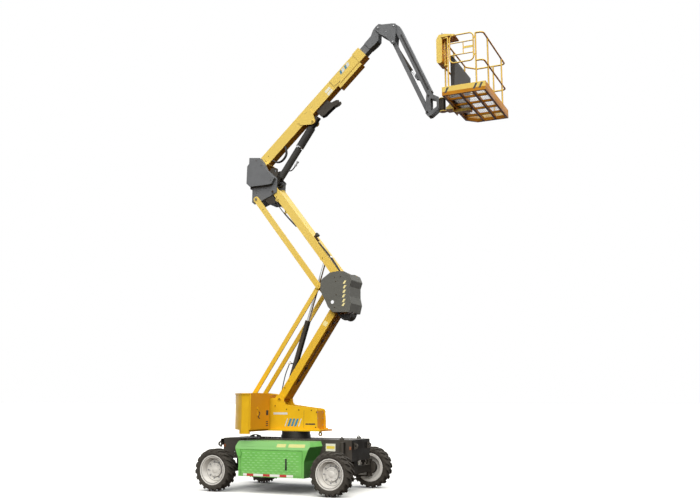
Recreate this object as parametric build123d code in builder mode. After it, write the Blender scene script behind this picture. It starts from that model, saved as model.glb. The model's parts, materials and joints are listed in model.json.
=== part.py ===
from build123d import *
import os
from math import atan2, cos, degrees, hypot, radians, sin, sqrt

os.makedirs("parts", exist_ok=True)

# Articulating boom lift: battery chassis, turntable, two risers, telescoping boom, jib and platform.
# Millimetres. +Z is up, +X is the way the boom points, the origin is on the slew axis at floor level.

# ---------------------------------------------------------------- running clearances
bore_gap = 0.3          # radial gap round a pin
side_gap = 7.0          # between plates that turn past each other
door_gap = 6.0           # round a door
slide_gap = 0.4          # at wear pads

# ---------------------------------------------------------------- wheels and axles
tyre_radius = 420.0
tyre_width = 310.0
lug_height = 14.0
rim_radius = 294.0
rim_barrel = 248.0
hub_cap_radius = 137.0
wheelbase = 2610.0
track = 1956.0
axle_x = wheelbase / 2
wheel_y = track / 2
disc_recess = 150.0      # from the outer face of the tyre to the wheel disc
disc_thick = 12.0
drum_radius = 125.0
spindle_radius = 50.0
beam_high = 150.0
beam_deep = 130.0
kingpin_y = 800.0
kingpin_radius = 24.0
yoke_half = 165.0        # kingpin's arms above and below the wheel centre
yoke_thick = 30.0
arm_back = 190.0         # steering arm, from kingpin back to tie rod
arm_in = 42.0            # and in towards the middle
tie_radius = 18.0

# ---------------------------------------------------------------- chassis
frame_past_axle = 170.0
frame_half_long = axle_x + frame_past_axle
frame_half_wide = 450.0
frame_top = 1030.0
frame_low = 620.0
frame_wall = 16.0
deck_thick = 20.0
box_outer = 1050.0
box_top = 1000.0
box_low = 320.0
box_end_top = 800.0
box_end_wide = 835.0
box_end_low = 735.0
box_wide_z = 905.0
box_taper_z = 640.0
box_bevel_z = 850.0
box_bevel_in = 110.0
box_door_half = 690.0
box_door_thick = 24.0
box_door_mid = 590.0
box_door_high = 480.0
box_slot_deep = 12.0
battery_long = 1300.0
battery_wide = 440.0
battery_high = 500.0
lug_out = 70.0           # lashing lugs at both ends
lug_hole = 22.0
lug_z = 910.0
rear_lug_y = 520.0
front_lug_y = 330.0

# ---------------------------------------------------------------- turntable
slew_radius = 310.0
ring_high = 70.0
race_high = 80.0
slew_mid = frame_top + ring_high
base_z = slew_mid + race_high
base_thick = 35.0
deck_z = base_z + base_thick
tail_radius = 1263.0
tail_back = 1130.0
panel_front = 600.0
cabinet_front = -470.0
cabinet_outer = 1064.0
cabinet_inner = 310.0
cabinet_top = deck_z + 730.0
skirt_deep = 78.0        # the cabinet's outer edge hangs below the base plate
skirt_in = 1010.0
wing_half = 1000.0       # base plate under the side housings
hood_front = -150.0
hood_top = deck_z + 405.0
cabinet_wall = 25.0
sill_wide = 8.0          # foot of the side plates, inside the doors' swing
door_thick = 30.0

# ---------------------------------------------------------------- arms
riser_half = 176.0
riser_wall = 12.0
riser_1_deep = 160.0
riser_2_deep = 165.0
riser_2_offset = 43.0    # centre of the box from the line of its pins
cheek_in = riser_half + side_gap
cheek_thick = 20.0
cheek_out = cheek_in + cheek_thick
link_in = cheek_out + side_gap
link_wide = 26.0
link_out = link_in + link_wide
upper_link_in = link_out + side_gap
upper_link_out = upper_link_in + link_wide
link_deep = 95.0
upper_link_deep = 125.0
cover_out = 286.0
cover_wall = 10.0
riser_pin = 34.0
boss_in = 112.0          # bosses either side of an open rod eye
eye_pin = 105.0          # half length of the pin a rod eye carries
link_pin = 26.0

base_pin = (-289.0, deck_z + 615.0)
riser_1_long = 2736.0
riser_1_angle = 55.9
link_shift = (-628.0, 64.0)      # from a riser 1 pin to the link pin beside it
mid_shift = (-242.0, 214.0)      # from the top pin of riser 1 to the low pin of riser 2
riser_2_long = 2531.0
riser_2_angle = 127.4
boom_shift = (-288.0, 616.0)     # from the top pin of riser 2 to the boom hinge
boom_angle = 42.4


def along(start, angle, distance, up=0.0):
    # point at a distance along a slanted line, and up square to it
    c, s = cos(radians(angle)), sin(radians(angle))
    return (start[0] + distance * c - up * s, start[1] + distance * s + up * c)


def moved(point, shift):
    return (point[0] + shift[0], point[1] + shift[1])


def back(point, shift):
    return (point[0] - shift[0], point[1] - shift[1])


def slope(a, b):
    return degrees(atan2(b[1] - a[1], b[0] - a[0]))


def reach(a, b):
    return hypot(b[0] - a[0], b[1] - a[1])


riser_1_top = along(base_pin, riser_1_angle, riser_1_long)
link_base = moved(base_pin, link_shift)
link_top = moved(riser_1_top, link_shift)
riser_2_low = moved(riser_1_top, mid_shift)
riser_2_top = along(riser_2_low, riser_2_angle, riser_2_long)
link_to_riser_2 = (link_top[0] - riser_2_low[0], link_top[1] - riser_2_low[1])
upper_link_top = moved(riser_2_top, link_to_riser_2)
boom_pin = moved(riser_2_top, boom_shift)

# riser cylinder, from a pin in riser 1 to a pin in riser 2
riser_cyl_low = along(base_pin, riser_1_angle, 250.0, 40.0)
riser_cyl_top = along(riser_2_low, riser_2_angle, 560.0)
riser_cyl_angle = slope(riser_cyl_low, riser_cyl_top)
riser_cyl_barrel = 1470.0
riser_rod_inside = 240.0    # rod in the barrel as pictured
riser_barrel_radius = 60.0
riser_rod_radius = 35.0

# main boom and fly
boom_half = 100.0
boom_deep = 250.0
boom_rise = 103.0        # centre of the boom above the line of its hinge
boom_wall = 8.0
boom_long = 3330.0       # from hinge to collar
boom_tail = 110.0
fly_half = 82.0
fly_deep = 190.0
fly_wall = 7.0
fly_back = 480.0        # inner end of the fly, from the hinge
fly_out = boom_long + 390.0      # end of the fly's straight box, from the hinge
head_past = 599.0        # levelling pin past the collar
head_up = 188.0
head_pin = along(boom_pin, boom_angle, boom_long + head_past, head_up)
head_half = 95.0
trunnion = (1494.0, -149.0)      # lift cylinder's pin on the boom
boom_cyl_top = along(boom_pin, boom_angle, *trunnion)
tray_deep = 78.0
tray_long = 690.0
boom_cyl_low = moved(boom_pin, (298.0, -373.0))
boom_cyl_angle = slope(boom_cyl_low, boom_cyl_top)
boom_cyl_barrel = 640.0    # gland to trunnion
boom_cyl_behind = 150.0    # barrel past its trunnion
boom_rod_inside = 265.0
boom_barrel_radius = 68.0
boom_rod_radius = 42.0

# jib
jib_pin = moved(head_pin, (359.0, -23.0))
jib_link_shift = (-23.0, -358.0)
jib_link_pin = moved(jib_pin, jib_link_shift)
jib_long = 1829.0
jib_angle = -66.1
jib_end = along(jib_pin, jib_angle, jib_long)
jib_link_end = moved(jib_end, jib_link_shift)
jib_deep = 130.0
jib_half = 65.0
jib_offset = 38.0
jib_link_deep = 84.0
jib_link_half = 45.0
jib_pin_radius = 24.0
jib_cheek_in = jib_half + side_gap
jib_cheek_thick = 14.0
jib_cheek_out = jib_cheek_in + jib_cheek_thick
jib_cyl_eye = (1300.0, -72.0)
jib_eye_radius = 17.0
jib_cyl_end = along(jib_pin, jib_angle, *jib_cyl_eye)
jib_cyl_angle = slope(jib_link_pin, jib_cyl_end)
jib_barrel_radius = 27.0
jib_rod_radius = 15.0
jib_cyl_barrel = 780.0
jib_eye_half = 30.0

# rotator and platform
rotator_x = jib_end[0] + 286.0
rotator_z = jib_end[1] - 229.0
rotator_radius = 70.0
rotator_half = 130.0
platform_back = rotator_x + 270.0
platform_deep = 872.0
platform_front = platform_back + platform_deep
platform_half = 910.0
platform_low = jib_end[1] - 385.0
floor_frame = 70.0
toe_high = 175.0
toe_thick = 6.0
rail_high = 1140.0
rail_radius = 17.0
mid_rail_drop = 585.0
rail_bend = 85.0
floor_z = platform_low + floor_frame
rail_z = floor_z + rail_high
gate_wide = 560.0        # post to post
gate_high = 572.0
gate_over = 25.0         # gate's top above the rail beside it
floor_cut = 210.0        # cut corner of the floor at the far back
mount_hole = 98.0
yoke_narrow = 50.0       # half width of the yoke beside the rotator
yoke_wide = 116.0
yoke_start = 100.0       # from the rotator's axis
mount_beam = platform_back + 330.0
beam_xs = (platform_back + 350, platform_back + 610)
console_y = 690.0        # right of the middle
console_wide = 330.0
apron_deep = 100.0
apron_z = floor_z + 843.0
gate_side = 182.0        # from the gate's latch post to the front
gate_post = (platform_front - gate_side, -platform_half + 30.0)


# ---------------------------------------------------------------- drawing helpers, used inside a part
def arm_plane(start, angle):
    # local x runs along the arm, local y square to it, the normal is -Y
    c, s = cos(radians(angle)), sin(radians(angle))
    return Plane(origin=(start[0], 0, start[1]), x_dir=(c, 0, s), z_dir=(0, -1, 0))


side = arm_plane((0, 0), 0)


def plate(plane, outline, y0, y1, mode=Mode.ADD):
    # flat piece between y0 and y1
    with BuildSketch(plane.offset(-y0)) as flat:
        with BuildLine():
            Polyline(*outline, close=True)
        make_face()
    extrude(flat.sketch, amount=y0 - y1, mode=mode)


def pair(plane, outline, inner, outer, mode=Mode.ADD):
    plate(plane, outline, inner, outer, mode)
    plate(plane, outline, -outer, -inner, mode)


def slab(plane, x0, x1, h0, h1, y0, y1, mode=Mode.ADD):
    plate(plane, [(x0, h0), (x1, h0), (x1, h1), (x0, h1)], y0, y1, mode)


def round_y(point, radius, y0, y1, mode=Mode.ADD):
    # cylinder along Y
    with BuildSketch(side.offset(-y0)) as flat:
        with Locations(point):
            Circle(radius)
    extrude(flat.sketch, amount=y0 - y1, mode=mode)


def eye_plate(plane, length, deep, y0, y1, mode=Mode.ADD):
    # bar with round ends on two pins
    with BuildSketch(plane.offset(-y0)) as flat:
        with Locations((length / 2, 0)):
            SlotCenterToCenter(length, deep)
    extrude(flat.sketch, amount=y0 - y1, mode=mode)


def round_along(plane, x0, x1, radius, mode=Mode.ADD):
    # cylinder along the arm
    cross = Plane(origin=plane.from_local_coords(Vector(x0, 0, 0)), x_dir=(0, 1, 0), z_dir=plane.x_dir)
    with BuildSketch(cross) as flat:
        Circle(radius)
    extrude(flat.sketch, amount=x1 - x0, mode=mode)


def save(part, name):
    part.part.label = name
    export_step(part.part, f"parts/{name}.step")


# ================================================================ chassis
with BuildPart() as chassis_frame:
    # deck, side rails and cross members, open below
    with Locations((0, 0, frame_top - deck_thick / 2)):
        Box(2 * frame_half_long, 2 * frame_half_wide, deck_thick)
    rail_mid = (frame_top + frame_low) / 2
    for y in (-frame_half_wide + frame_wall / 2, frame_half_wide - frame_wall / 2):
        with Locations((0, y, rail_mid)):
            Box(2 * frame_half_long, frame_wall, frame_top - frame_low)
    for x in (-frame_half_long, -axle_x + 260, -420, 420, axle_x - 260, frame_half_long):
        shift = -frame_wall / 2 if x > 0 else frame_wall / 2
        with Locations((x + shift, 0, rail_mid)):
            Box(frame_wall, 2 * frame_half_wide, frame_top - frame_low)
    # rear beam, and lashing lugs with a round eye at the four corners
    with Locations((-frame_half_long - frame_wall / 2 + 5, 0, lug_z + 40)):
        Box(frame_wall, 2 * rear_lug_y + 60, 130)
    for x, y in ((-1, -rear_lug_y), (-1, rear_lug_y), (1, -front_lug_y), (1, front_lug_y)):
        with Locations((x * (frame_half_long + lug_out / 4), y, lug_z)):
            Box(lug_out / 2 + 2, 24, 130)
        with Locations((x * (frame_half_long + lug_out / 2), y, lug_z)):
            Cylinder(lug_out * 0.72, 24, rotation=(90, 0, 0))
            Cylinder(lug_hole, 40, rotation=(90, 0, 0), mode=Mode.SUBTRACT)
    # lifting eyes on the deck over the front axle
    for y in (-frame_half_wide + 30, frame_half_wide - 30):
        with Locations((axle_x - 60, y, frame_top + 14)):
            Box(90, 18, 32)
        with Locations((axle_x - 60, y, frame_top + 30)):
            Cylinder(28, 18, rotation=(90, 0, 0))
            Cylinder(13, 30, rotation=(90, 0, 0), mode=Mode.SUBTRACT)
    # covers of the cable ducts on the deck
    for x in (-590, -450):
        with Locations((x, -frame_half_wide + 70, frame_top + 18)):
            Box(90, 60, 38)
    # axle brackets down to both beams
    for x in (-axle_x, axle_x):
        with Locations((x, 0, (frame_top + tyre_radius + beam_high / 2) / 2)):
            Box(beam_deep, 180, frame_top - tyre_radius - beam_high / 2)
save(chassis_frame, "chassis_frame")

with BuildPart() as front_axle:
    with Locations((axle_x, 0, tyre_radius)):
        Box(beam_deep, 2 * (kingpin_y - 30), beam_high - 2 * bore_gap)
    for y in (-kingpin_y, kingpin_y):
        with Locations((axle_x, y, tyre_radius)):
            Cylinder(46, 2 * (yoke_half - yoke_thick / 2 - 1))
        with Locations((axle_x, y, tyre_radius)):
            Cylinder(kingpin_radius + bore_gap, 2 * yoke_half, mode=Mode.SUBTRACT)
save(front_axle, "front_axle")

with BuildPart() as rear_axle:
    with Locations((-axle_x, 0, tyre_radius)):
        Box(beam_deep, 2 * (wheel_y - 128), beam_high - 2 * bore_gap)
    for s in (-1, 1):
        hub_end = wheel_y + tyre_width / 2 - disc_recess - disc_thick - 8
        with Locations((-axle_x, s * (hub_end + wheel_y - 128) / 2, tyre_radius)):
            Cylinder(drum_radius, hub_end - wheel_y + 128, rotation=(90, 0, 0))
        with Locations((-axle_x, s * (hub_end + 20), tyre_radius)):
            Cylinder(spindle_radius, 60, rotation=(90, 0, 0))
save(rear_axle, "rear_axle")

with BuildPart() as axle_cylinders:
    # the pair that holds the front axle level
    for y in (-510, 510):
        with Locations((axle_x, y, 770)):
            Cylinder(46, 440)
        with Locations((axle_x, y, tyre_radius + beam_high / 2 + 28)):
            Cylinder(24, 56)
        with Locations((axle_x, y - 38 * (1 if y > 0 else -1), 960)):
            Box(60, 44, 60)
save(axle_cylinders, "axle_cylinders")


def battery_box(sign):
    # steel box with tapered ends and a bevelled top edge
    ends = [(-box_end_low, box_low), (box_end_low, box_low), (box_end_low, box_taper_z),
            (box_end_wide, box_wide_z), (box_end_top, box_top), (-box_end_top, box_top),
            (-box_end_wide, box_wide_z), (-box_end_low, box_taper_z)]
    inner = frame_half_wide + 0.5
    with BuildPart() as shell:
        y0, y1 = (inner, box_outer) if sign > 0 else (-box_outer, -inner)
        plate(side, ends, y0, y1)
        cut = [(sign * box_outer, box_bevel_z), (sign * (box_outer - box_bevel_in), box_top),
               (sign * (box_outer + 50), box_top + 50), (sign * (box_outer + 50), box_bevel_z)]
        with BuildSketch(Plane.YZ.offset(-1000)):
            with BuildLine():
                Polyline(*cut, close=True)
            make_face()
        extrude(amount=2000, mode=Mode.SUBTRACT)
    return shell


for name, sign in (("right", -1), ("left", 1)):
    outer = battery_box(sign)
    door_y = sign * (box_outer - box_door_thick / 2)
    with BuildPart() as box_shell:
        add(outer.part)
        with Locations((0, sign * (frame_half_wide + box_outer - 10) / 2, box_taper_z - 20)):
            Box(2 * box_end_low - 70, box_outer - frame_half_wide - 60, battery_high + 60, mode=Mode.SUBTRACT)
        with Locations((0, sign * (box_outer - 20), box_door_mid)):
            Box(2 * box_door_half + 2 * door_gap, 120, box_door_high + 2 * door_gap, mode=Mode.SUBTRACT)
        for z in (box_door_mid - 122.3, box_door_mid + 122.3):
            with Locations((-box_door_half - 14, sign * (box_outer + 10.5), z)):
                Box(52, 19, 24)
            with Locations((-box_door_half - 35, sign * (box_outer + 4), z)):
                Box(10, 14, 24)
            with Locations((-box_door_half + 12, sign * (box_outer + 10), z)):
                Cylinder(9, 24)
    save(box_shell, f"battery_box_{name}")
    with BuildPart() as box_door:
        with Locations((0, door_y, box_door_mid)):
            Box(2 * box_door_half, box_door_thick, box_door_high)
        # grip slot near the free edge
        with Locations((345, sign * box_outer, 568)):
            Box(40, 2 * box_slot_deep, 226, mode=Mode.SUBTRACT)
        # hinge knuckles at the other edge
        for z in (box_door_mid - 170, box_door_mid + 170):
            with Locations((-box_door_half + 12, sign * (box_outer + 10), z)):
                Cylinder(11, 70)
    save(box_door, f"battery_door_{name}")

with BuildPart() as battery_packs:
    for sign in (-1, 1):
        with Locations((0, sign * (frame_half_wide + box_outer + 20) / 2, box_door_mid)):
            Box(battery_long, battery_wide, battery_high)
save(battery_packs, "battery_packs")

with BuildPart() as slew_ring:
    with BuildSketch(Plane.XY.offset(frame_top)):
        Circle(slew_radius)
        Circle(slew_radius - 70, mode=Mode.SUBTRACT)
    extrude(amount=slew_mid - frame_top - bore_gap)
save(slew_ring, "slew_ring")

# ================================================================ steering
for name, sign in (("knuckle_right", -1), ("knuckle_left", 1)):
    with BuildPart() as knuckle:
        hub_end = wheel_y + tyre_width / 2 - disc_recess - disc_thick - 8
        for z in (-yoke_half, yoke_half):
            with Locations((axle_x, sign * kingpin_y, tyre_radius + z)):
                Cylinder(50, yoke_thick)
            with Locations((axle_x, sign * (kingpin_y + 35), tyre_radius + z)):
                Box(80, 70, yoke_thick)
        with Locations((axle_x, sign * (kingpin_y + 62), tyre_radius)):
            Box(100, 20, 2 * yoke_half + yoke_thick)
        with Locations((axle_x, sign * (hub_end + kingpin_y + 60) / 2, tyre_radius)):
            Cylinder(drum_radius, hub_end - kingpin_y - 60, rotation=(90, 0, 0))
        with Locations((axle_x, sign * (hub_end + 20), tyre_radius)):
            Cylinder(spindle_radius, 60, rotation=(90, 0, 0))
        with Locations((axle_x, sign * kingpin_y, tyre_radius)):
            Cylinder(kingpin_radius, 2 * yoke_half + yoke_thick)
        # steering arm
        arm_mid = (axle_x - arm_back / 2, sign * (kingpin_y - arm_in / 2), tyre_radius - yoke_half)
        with Locations(Location(arm_mid, (0, 0, sign * degrees(atan2(arm_in, arm_back))))):
            Box(hypot(arm_back, arm_in), 46, yoke_thick)
        with Locations((axle_x - arm_back, sign * (kingpin_y - arm_in), tyre_radius - yoke_half)):
            Cylinder(30, yoke_thick)
    save(knuckle, name)

with BuildPart() as tie_rod:
    stud_top = tyre_radius - yoke_half - yoke_thick / 2 - 0.5
    tie_z = stud_top - 34
    with Locations((axle_x - arm_back, 0, tie_z)):
        Cylinder(tie_radius, 2 * (kingpin_y - arm_in), rotation=(90, 0, 0))
    for y in (-kingpin_y + arm_in, kingpin_y - arm_in):
        with Locations((axle_x - arm_back, y, (tie_z - 24 + stud_top) / 2)):
            Cylinder(24, stud_top - tie_z + 24)
save(tie_rod, "tie_rod")

# ================================================================ wheels
wheels = [("front_right", axle_x, -1), ("front_left", axle_x, 1),
          ("rear_right", -axle_x, -1), ("rear_left", -axle_x, 1)]


def wheel_plane(x, sign):
    # local x is the radius, local y runs out along the axle from the wheel's middle
    return Plane(origin=(x, sign * wheel_y, tyre_radius), x_dir=(0, 0, 1), z_dir=(-sign, 0, 0))


for name, x, sign in wheels:
    spin = Axis((x, 0, tyre_radius), (0, 1, 0))
    half = tyre_width / 2
    bead = rim_barrel + 13.3
    with BuildPart() as tyre:
        with BuildSketch(wheel_plane(x, sign)):
            with BuildLine():
                Polyline((bead, -half + 46), (rim_radius + 1, -half + 24), (rim_radius + 6, -half + 14),
                         (340, -half), (395, -half + 6), (tyre_radius, -half + 36), (tyre_radius, half - 36),
                         (395, half - 6), (340, half), (rim_radius + 6, half - 14), (rim_radius + 1, half - 24),
                         (bead, half - 46), close=True)
            make_face()
        revolve(axis=spin)
    save(tyre, f"tyre_{name}")

    disc = half - disc_recess
    with BuildPart() as rim:
        with BuildSketch(wheel_plane(x, sign)):
            with BuildLine():
                Polyline((spindle_radius + bore_gap, disc - disc_thick), (rim_barrel - 14, disc - disc_thick),
                         (rim_barrel - 12, -half + 24), (rim_radius - 10, -half + 14), (rim_radius, -half + 20),
                         (rim_barrel + 13, -half + 43), (rim_barrel + 13, half - 43), (rim_radius, half - 20),
                         (rim_radius - 10, half - 14), (rim_barrel - 6, half - 30), (rim_barrel - 22, disc),
                         (hub_cap_radius, disc), (hub_cap_radius, disc + 28), (hub_cap_radius - 10, disc + 36),
                         (0, disc + 40), (0, disc + 30), (spindle_radius + bore_gap, disc + 30), close=True)
            make_face()
        revolve(axis=spin)
    save(rim, f"rim_{name}")

# ================================================================ turntable
with BuildPart() as slew_race:
    with BuildSketch(Plane.XY.offset(slew_mid)):
        Circle(slew_radius - 14)
        Circle(slew_radius - 84, mode=Mode.SUBTRACT)
    extrude(amount=base_z - slew_mid)
save(slew_race, "slew_race")


def tail_x(y):
    # the tail's swing circle at a distance from the middle
    return -sqrt(tail_radius ** 2 - y ** 2)


with BuildPart() as turntable_frame:
    # base plate, wider under the two side housings
    with BuildSketch(Plane.XY.offset(base_z)):
        with BuildLine():
            Polyline((-tail_back, -280), (-tail_back + 130, -290), (-720, -wing_half), (cabinet_front - 60, -wing_half),
                     (cabinet_front - 60, -280), (panel_front + 100, -280), (panel_front + 100, 280),
                     (hood_front - 60, 280), (hood_front - 60, wing_half), (-720, wing_half),
                     (-tail_back + 130, 290), (-tail_back, 280), close=True)
        make_face()
    extrude(amount=base_thick)
    top = deck_z
    cheek = [(-tail_back, top - 1), (panel_front, top - 1), (panel_front - 8, top + 250), (panel_front - 26, top + 385),
             (panel_front - 40, top + 408), (panel_front - 66, top + 420), (170, top + 462), (0, top + 485),
             (base_pin[0] + 150, top + 500), (base_pin[0] + 105, base_pin[1] - 60),
             (base_pin[0] + 95, base_pin[1] + 50), (base_pin[0] + 45, base_pin[1] + 95),
             (base_pin[0] - 45, base_pin[1] + 95), (base_pin[0] - 120, base_pin[1] + 20),
             (cabinet_front - 60, base_pin[1] + 20), (cabinet_front - 80, base_pin[1] + 105),
             (link_base[0] + 60, link_base[1] + 70), (link_base[0] - 60, link_base[1] + 60),
             (link_base[0] - 100, link_base[1] - 40), (-tail_back, top + 285)]
    pair(side, cheek, cheek_in, cheek_out)
    # sill along the foot of both side plates, and the two slots in their front
    slab(side, cabinet_front, panel_front + 40, top - 1, top + 26, -cheek_out - sill_wide, -cheek_out + 1)
    slab(side, cabinet_front, panel_front + 40, top - 1, top + 26, cheek_out - 1, cheek_out + sill_wide)
    for x0, x1 in ((330, 372), (392, 540)):
        slab(side, x0, x1, top + 95, top + 120, -cheek_out - 1, cheek_out + 1, Mode.SUBTRACT)
    # towing eye under the front
    slab(side, panel_front - 60, panel_front - 10, base_z - 60, base_z + 1, -12, 12)
    round_y((panel_front - 35, base_z - 62), 42, -12, 12)
    round_y((panel_front - 35, base_z - 62), 20, -13, 13, Mode.SUBTRACT)
    # front closing plate and the cross tube behind the riser
    slab(side, panel_front - 60, panel_front - 44, top - 1, top + 380, -cheek_in - 1, cheek_in + 1)
    slab(side, cabinet_front - 140, cabinet_front - 80, base_pin[1] + 10, base_pin[1] + 90,
         -cheek_in - 1, cheek_in + 1)
    # pins for the riser and the two lower links
    round_y(base_pin, riser_pin, -cheek_out - 16, cheek_out + 16)
    for y0, y1 in ((-link_out - 12, -cheek_in), (cheek_in, link_out + 12)):
        round_y(link_base, link_pin, y0, y1)
save(turntable_frame, "turntable_frame")


def housing_plan(front, inner, outer, sign, trim=0.0, mode=Mode.ADD):
    # plan outline of a side housing, rounded at the back to the tail's swing circle
    rear_in = tail_x(inner) + trim
    rear_out = tail_x(outer) + trim
    middle = (inner + outer) / 2
    with BuildLine() as edge:
        Line((front, sign * inner), (front, sign * outer))
        Line((front, sign * outer), (rear_out, sign * outer))
        ThreePointArc((rear_out, sign * outer), (tail_x(middle) + trim, sign * middle), (rear_in, sign * inner))
        Line((rear_in, sign * inner), (front, sign * inner))
    make_face(edge.edges(), mode=mode)


def housing(front, top, sign, skirt=0.0):
    # hollow housing, open at the front for its door
    inner, outer = cabinet_inner, cabinet_outer
    with BuildPart() as shell:
        if skirt:
            # the part beyond the base plate hangs lower
            with BuildSketch(Plane.XY.offset(deck_z - skirt)):
                housing_plan(front - door_thick - door_gap, skirt_in, outer, sign)
            extrude(amount=skirt + 1)
        with BuildSketch(Plane.XY.offset(base_z + base_thick + 0.5)):
            housing_plan(front - door_thick - door_gap, inner, outer, sign)
        extrude(amount=top - base_z - base_thick - 0.5)
        with BuildSketch(Plane.XY.offset(base_z + base_thick + cabinet_wall)):
            housing_plan(front, inner + cabinet_wall, outer - cabinet_wall, sign, cabinet_wall)
        extrude(amount=top - base_z - base_thick - 2 * cabinet_wall, mode=Mode.SUBTRACT)
        # lip round the top edge
        with BuildSketch(Plane.XY.offset(top - 28)):
            housing_plan(front - door_thick - door_gap, inner, outer + 14, sign, -14)
            housing_plan(front - door_thick - door_gap + 1, inner - 1, outer - 4, sign, 4, Mode.SUBTRACT)
        extrude(amount=28)
        # hinge tabs beside the door's knuckles
        for z in (base_z + base_thick + 180, top - 180):
            with Locations((front - 48, sign * (inner - 8), z)):
                Box(22, 30, 24)
            with Locations((front - 37, sign * (inner - 12), z)):
                Box(44, 21, 24)
            with Locations((front - door_thick / 2, sign * (inner - 12), z)):
                Cylinder(12, 24)
    return shell


def housing_door(front, top, sign):
    inner, outer = cabinet_inner, cabinet_outer
    low = base_z + base_thick + 0.5
    with BuildPart() as leaf:
        with Locations((front - door_thick / 2, sign * (inner + outer) / 2, (low + door_gap + top) / 2)):
            Box(door_thick, outer - inner, top - low - door_gap)
        # hinge knuckles and the pull handle
        for z in (low + 120, top - 120):
            with Locations((front - door_thick / 2, sign * (inner - 12), z)):
                Cylinder(12, 90)
            with Locations((front - door_thick / 2, sign * (inner - 4), z)):
                Box(20, 12, 90)
        with Locations((front + 15, sign * (outer - 270), (low + top) / 2)):
            Box(12, 20, 170)
        for z in (-75, 75):
            with Locations((front + 8, sign * (outer - 270), (low + top) / 2 + z)):
                Box(20, 20, 20)
    return leaf


save(housing(cabinet_front, cabinet_top, -1, skirt_deep), "control_cabinet")
save(housing_door(cabinet_front, cabinet_top, -1), "cabinet_door")
save(housing(hood_front, hood_top, 1), "pump_housing")
save(housing_door(hood_front, hood_top, 1), "pump_door")

with BuildPart() as counterweight:
    # cast block in the tail, rounded to the swing circle
    with BuildSketch(Plane.XY.offset(base_z + base_thick + 0.5)):
        housing_plan(-tail_back - 0.5, 1.0, 284, 1)
    extrude(amount=640)
    with BuildSketch(Plane.XY.offset(base_z + base_thick + 0.5)):
        housing_plan(-tail_back - 0.5, 1.0, 284, -1)
    extrude(amount=640)
    with Locations((-tail_back / 2 - 360, 0, base_z + base_thick + 240)):
        Box(tail_back - 720 + 2, 2 * cheek_in - 1, 479)
    with Locations(((tail_x(0) - tail_back) / 2 + 20, 0, base_z + base_thick + 300)):
        Box(60, 10, 590)
save(counterweight, "counterweight")

# ================================================================ lower stage
riser_1_plane = arm_plane(base_pin, riser_1_angle)
with BuildPart() as riser_1:
    half_deep = riser_1_deep / 2
    for y0, y1 in ((-riser_half, -riser_half + riser_wall), (riser_half - riser_wall, riser_half)):
        eye_plate(riser_1_plane, riser_1_long, riser_1_deep, y0, y1)
    # web on the lower side, open above
    slab(riser_1_plane, 60, riser_1_long - 60, -half_deep, -half_deep + riser_wall, -riser_half, riser_half)
    for x in (420, riser_1_long - 560):
        slab(riser_1_plane, x, x + riser_wall, -half_deep, -20, -riser_half, riser_half)
    round_y(base_pin, riser_pin + 18, -riser_half, riser_half)
    round_y(riser_1_top, riser_pin + 18, -riser_half, riser_half)
    round_y(base_pin, riser_pin + bore_gap, -riser_half - 1, riser_half + 1, Mode.SUBTRACT)
    round_y(riser_1_top, riser_pin + bore_gap, -riser_half - 1, riser_half + 1, Mode.SUBTRACT)
    round_y(riser_cyl_low, riser_pin - 4, -riser_half, riser_half)
save(riser_1, "riser_1")

lower_link_plane = arm_plane(link_base, riser_1_angle)
with BuildPart() as lower_links:
    for y0, y1 in ((-link_out, -link_in), (link_in, link_out)):
        eye_plate(lower_link_plane, riser_1_long, link_deep, y0, y1)
    for point in (link_base, link_top):
        round_y(point, link_pin + bore_gap, -link_out - 1, link_out + 1, Mode.SUBTRACT)
save(lower_links, "lower_links")

mid = riser_1_top
with BuildPart() as mid_knuckle:
    cheek = [(mid[0] + 90, mid[1] - 500), (mid[0] + 90, mid[1] + 60), (mid[0] + 60, mid[1] + 290),
             (mid[0] - 330, mid[1] + 290), (link_top[0] + 40, link_top[1] + 62), (link_top[0] - 40, link_top[1] + 50),
             (link_top[0] - 60, link_top[1] - 20), (link_top[0] - 20, link_top[1] - 60),
             (mid[0] - 440, mid[1] - 250), (mid[0] - 260, mid[1] - 500)]
    pair(side, cheek, cheek_in, cheek_out)
    round_y((mid[0] - 305, mid[1] - 288), 70, -cheek_out - 1, cheek_out + 1, Mode.SUBTRACT)
    # closing plates down the front and at the foot, and a cross tube at the top
    slab(side, mid[0] + 86, mid[0] + 95, mid[1] - 480, mid[1] + 60, -cheek_out, cheek_out)
    slab(side, mid[0] - 40, mid[0] + 80, mid[1] - 498, mid[1] - 486, -cheek_in - 1, cheek_in + 1)
    round_y((mid[0] + 15, mid[1] + 225), 30, -cheek_in - 1, cheek_in + 1)
    round_y(mid, riser_pin, -cheek_out - 14, cheek_out + 14)
    round_y(riser_2_low, riser_pin, -cheek_out - 14, cheek_out + 14)
    round_y(link_top, link_pin, -upper_link_out - 5, -cheek_in)
    round_y(link_top, link_pin, cheek_in, link_out + 12)
save(mid_knuckle, "mid_knuckle")

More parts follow.
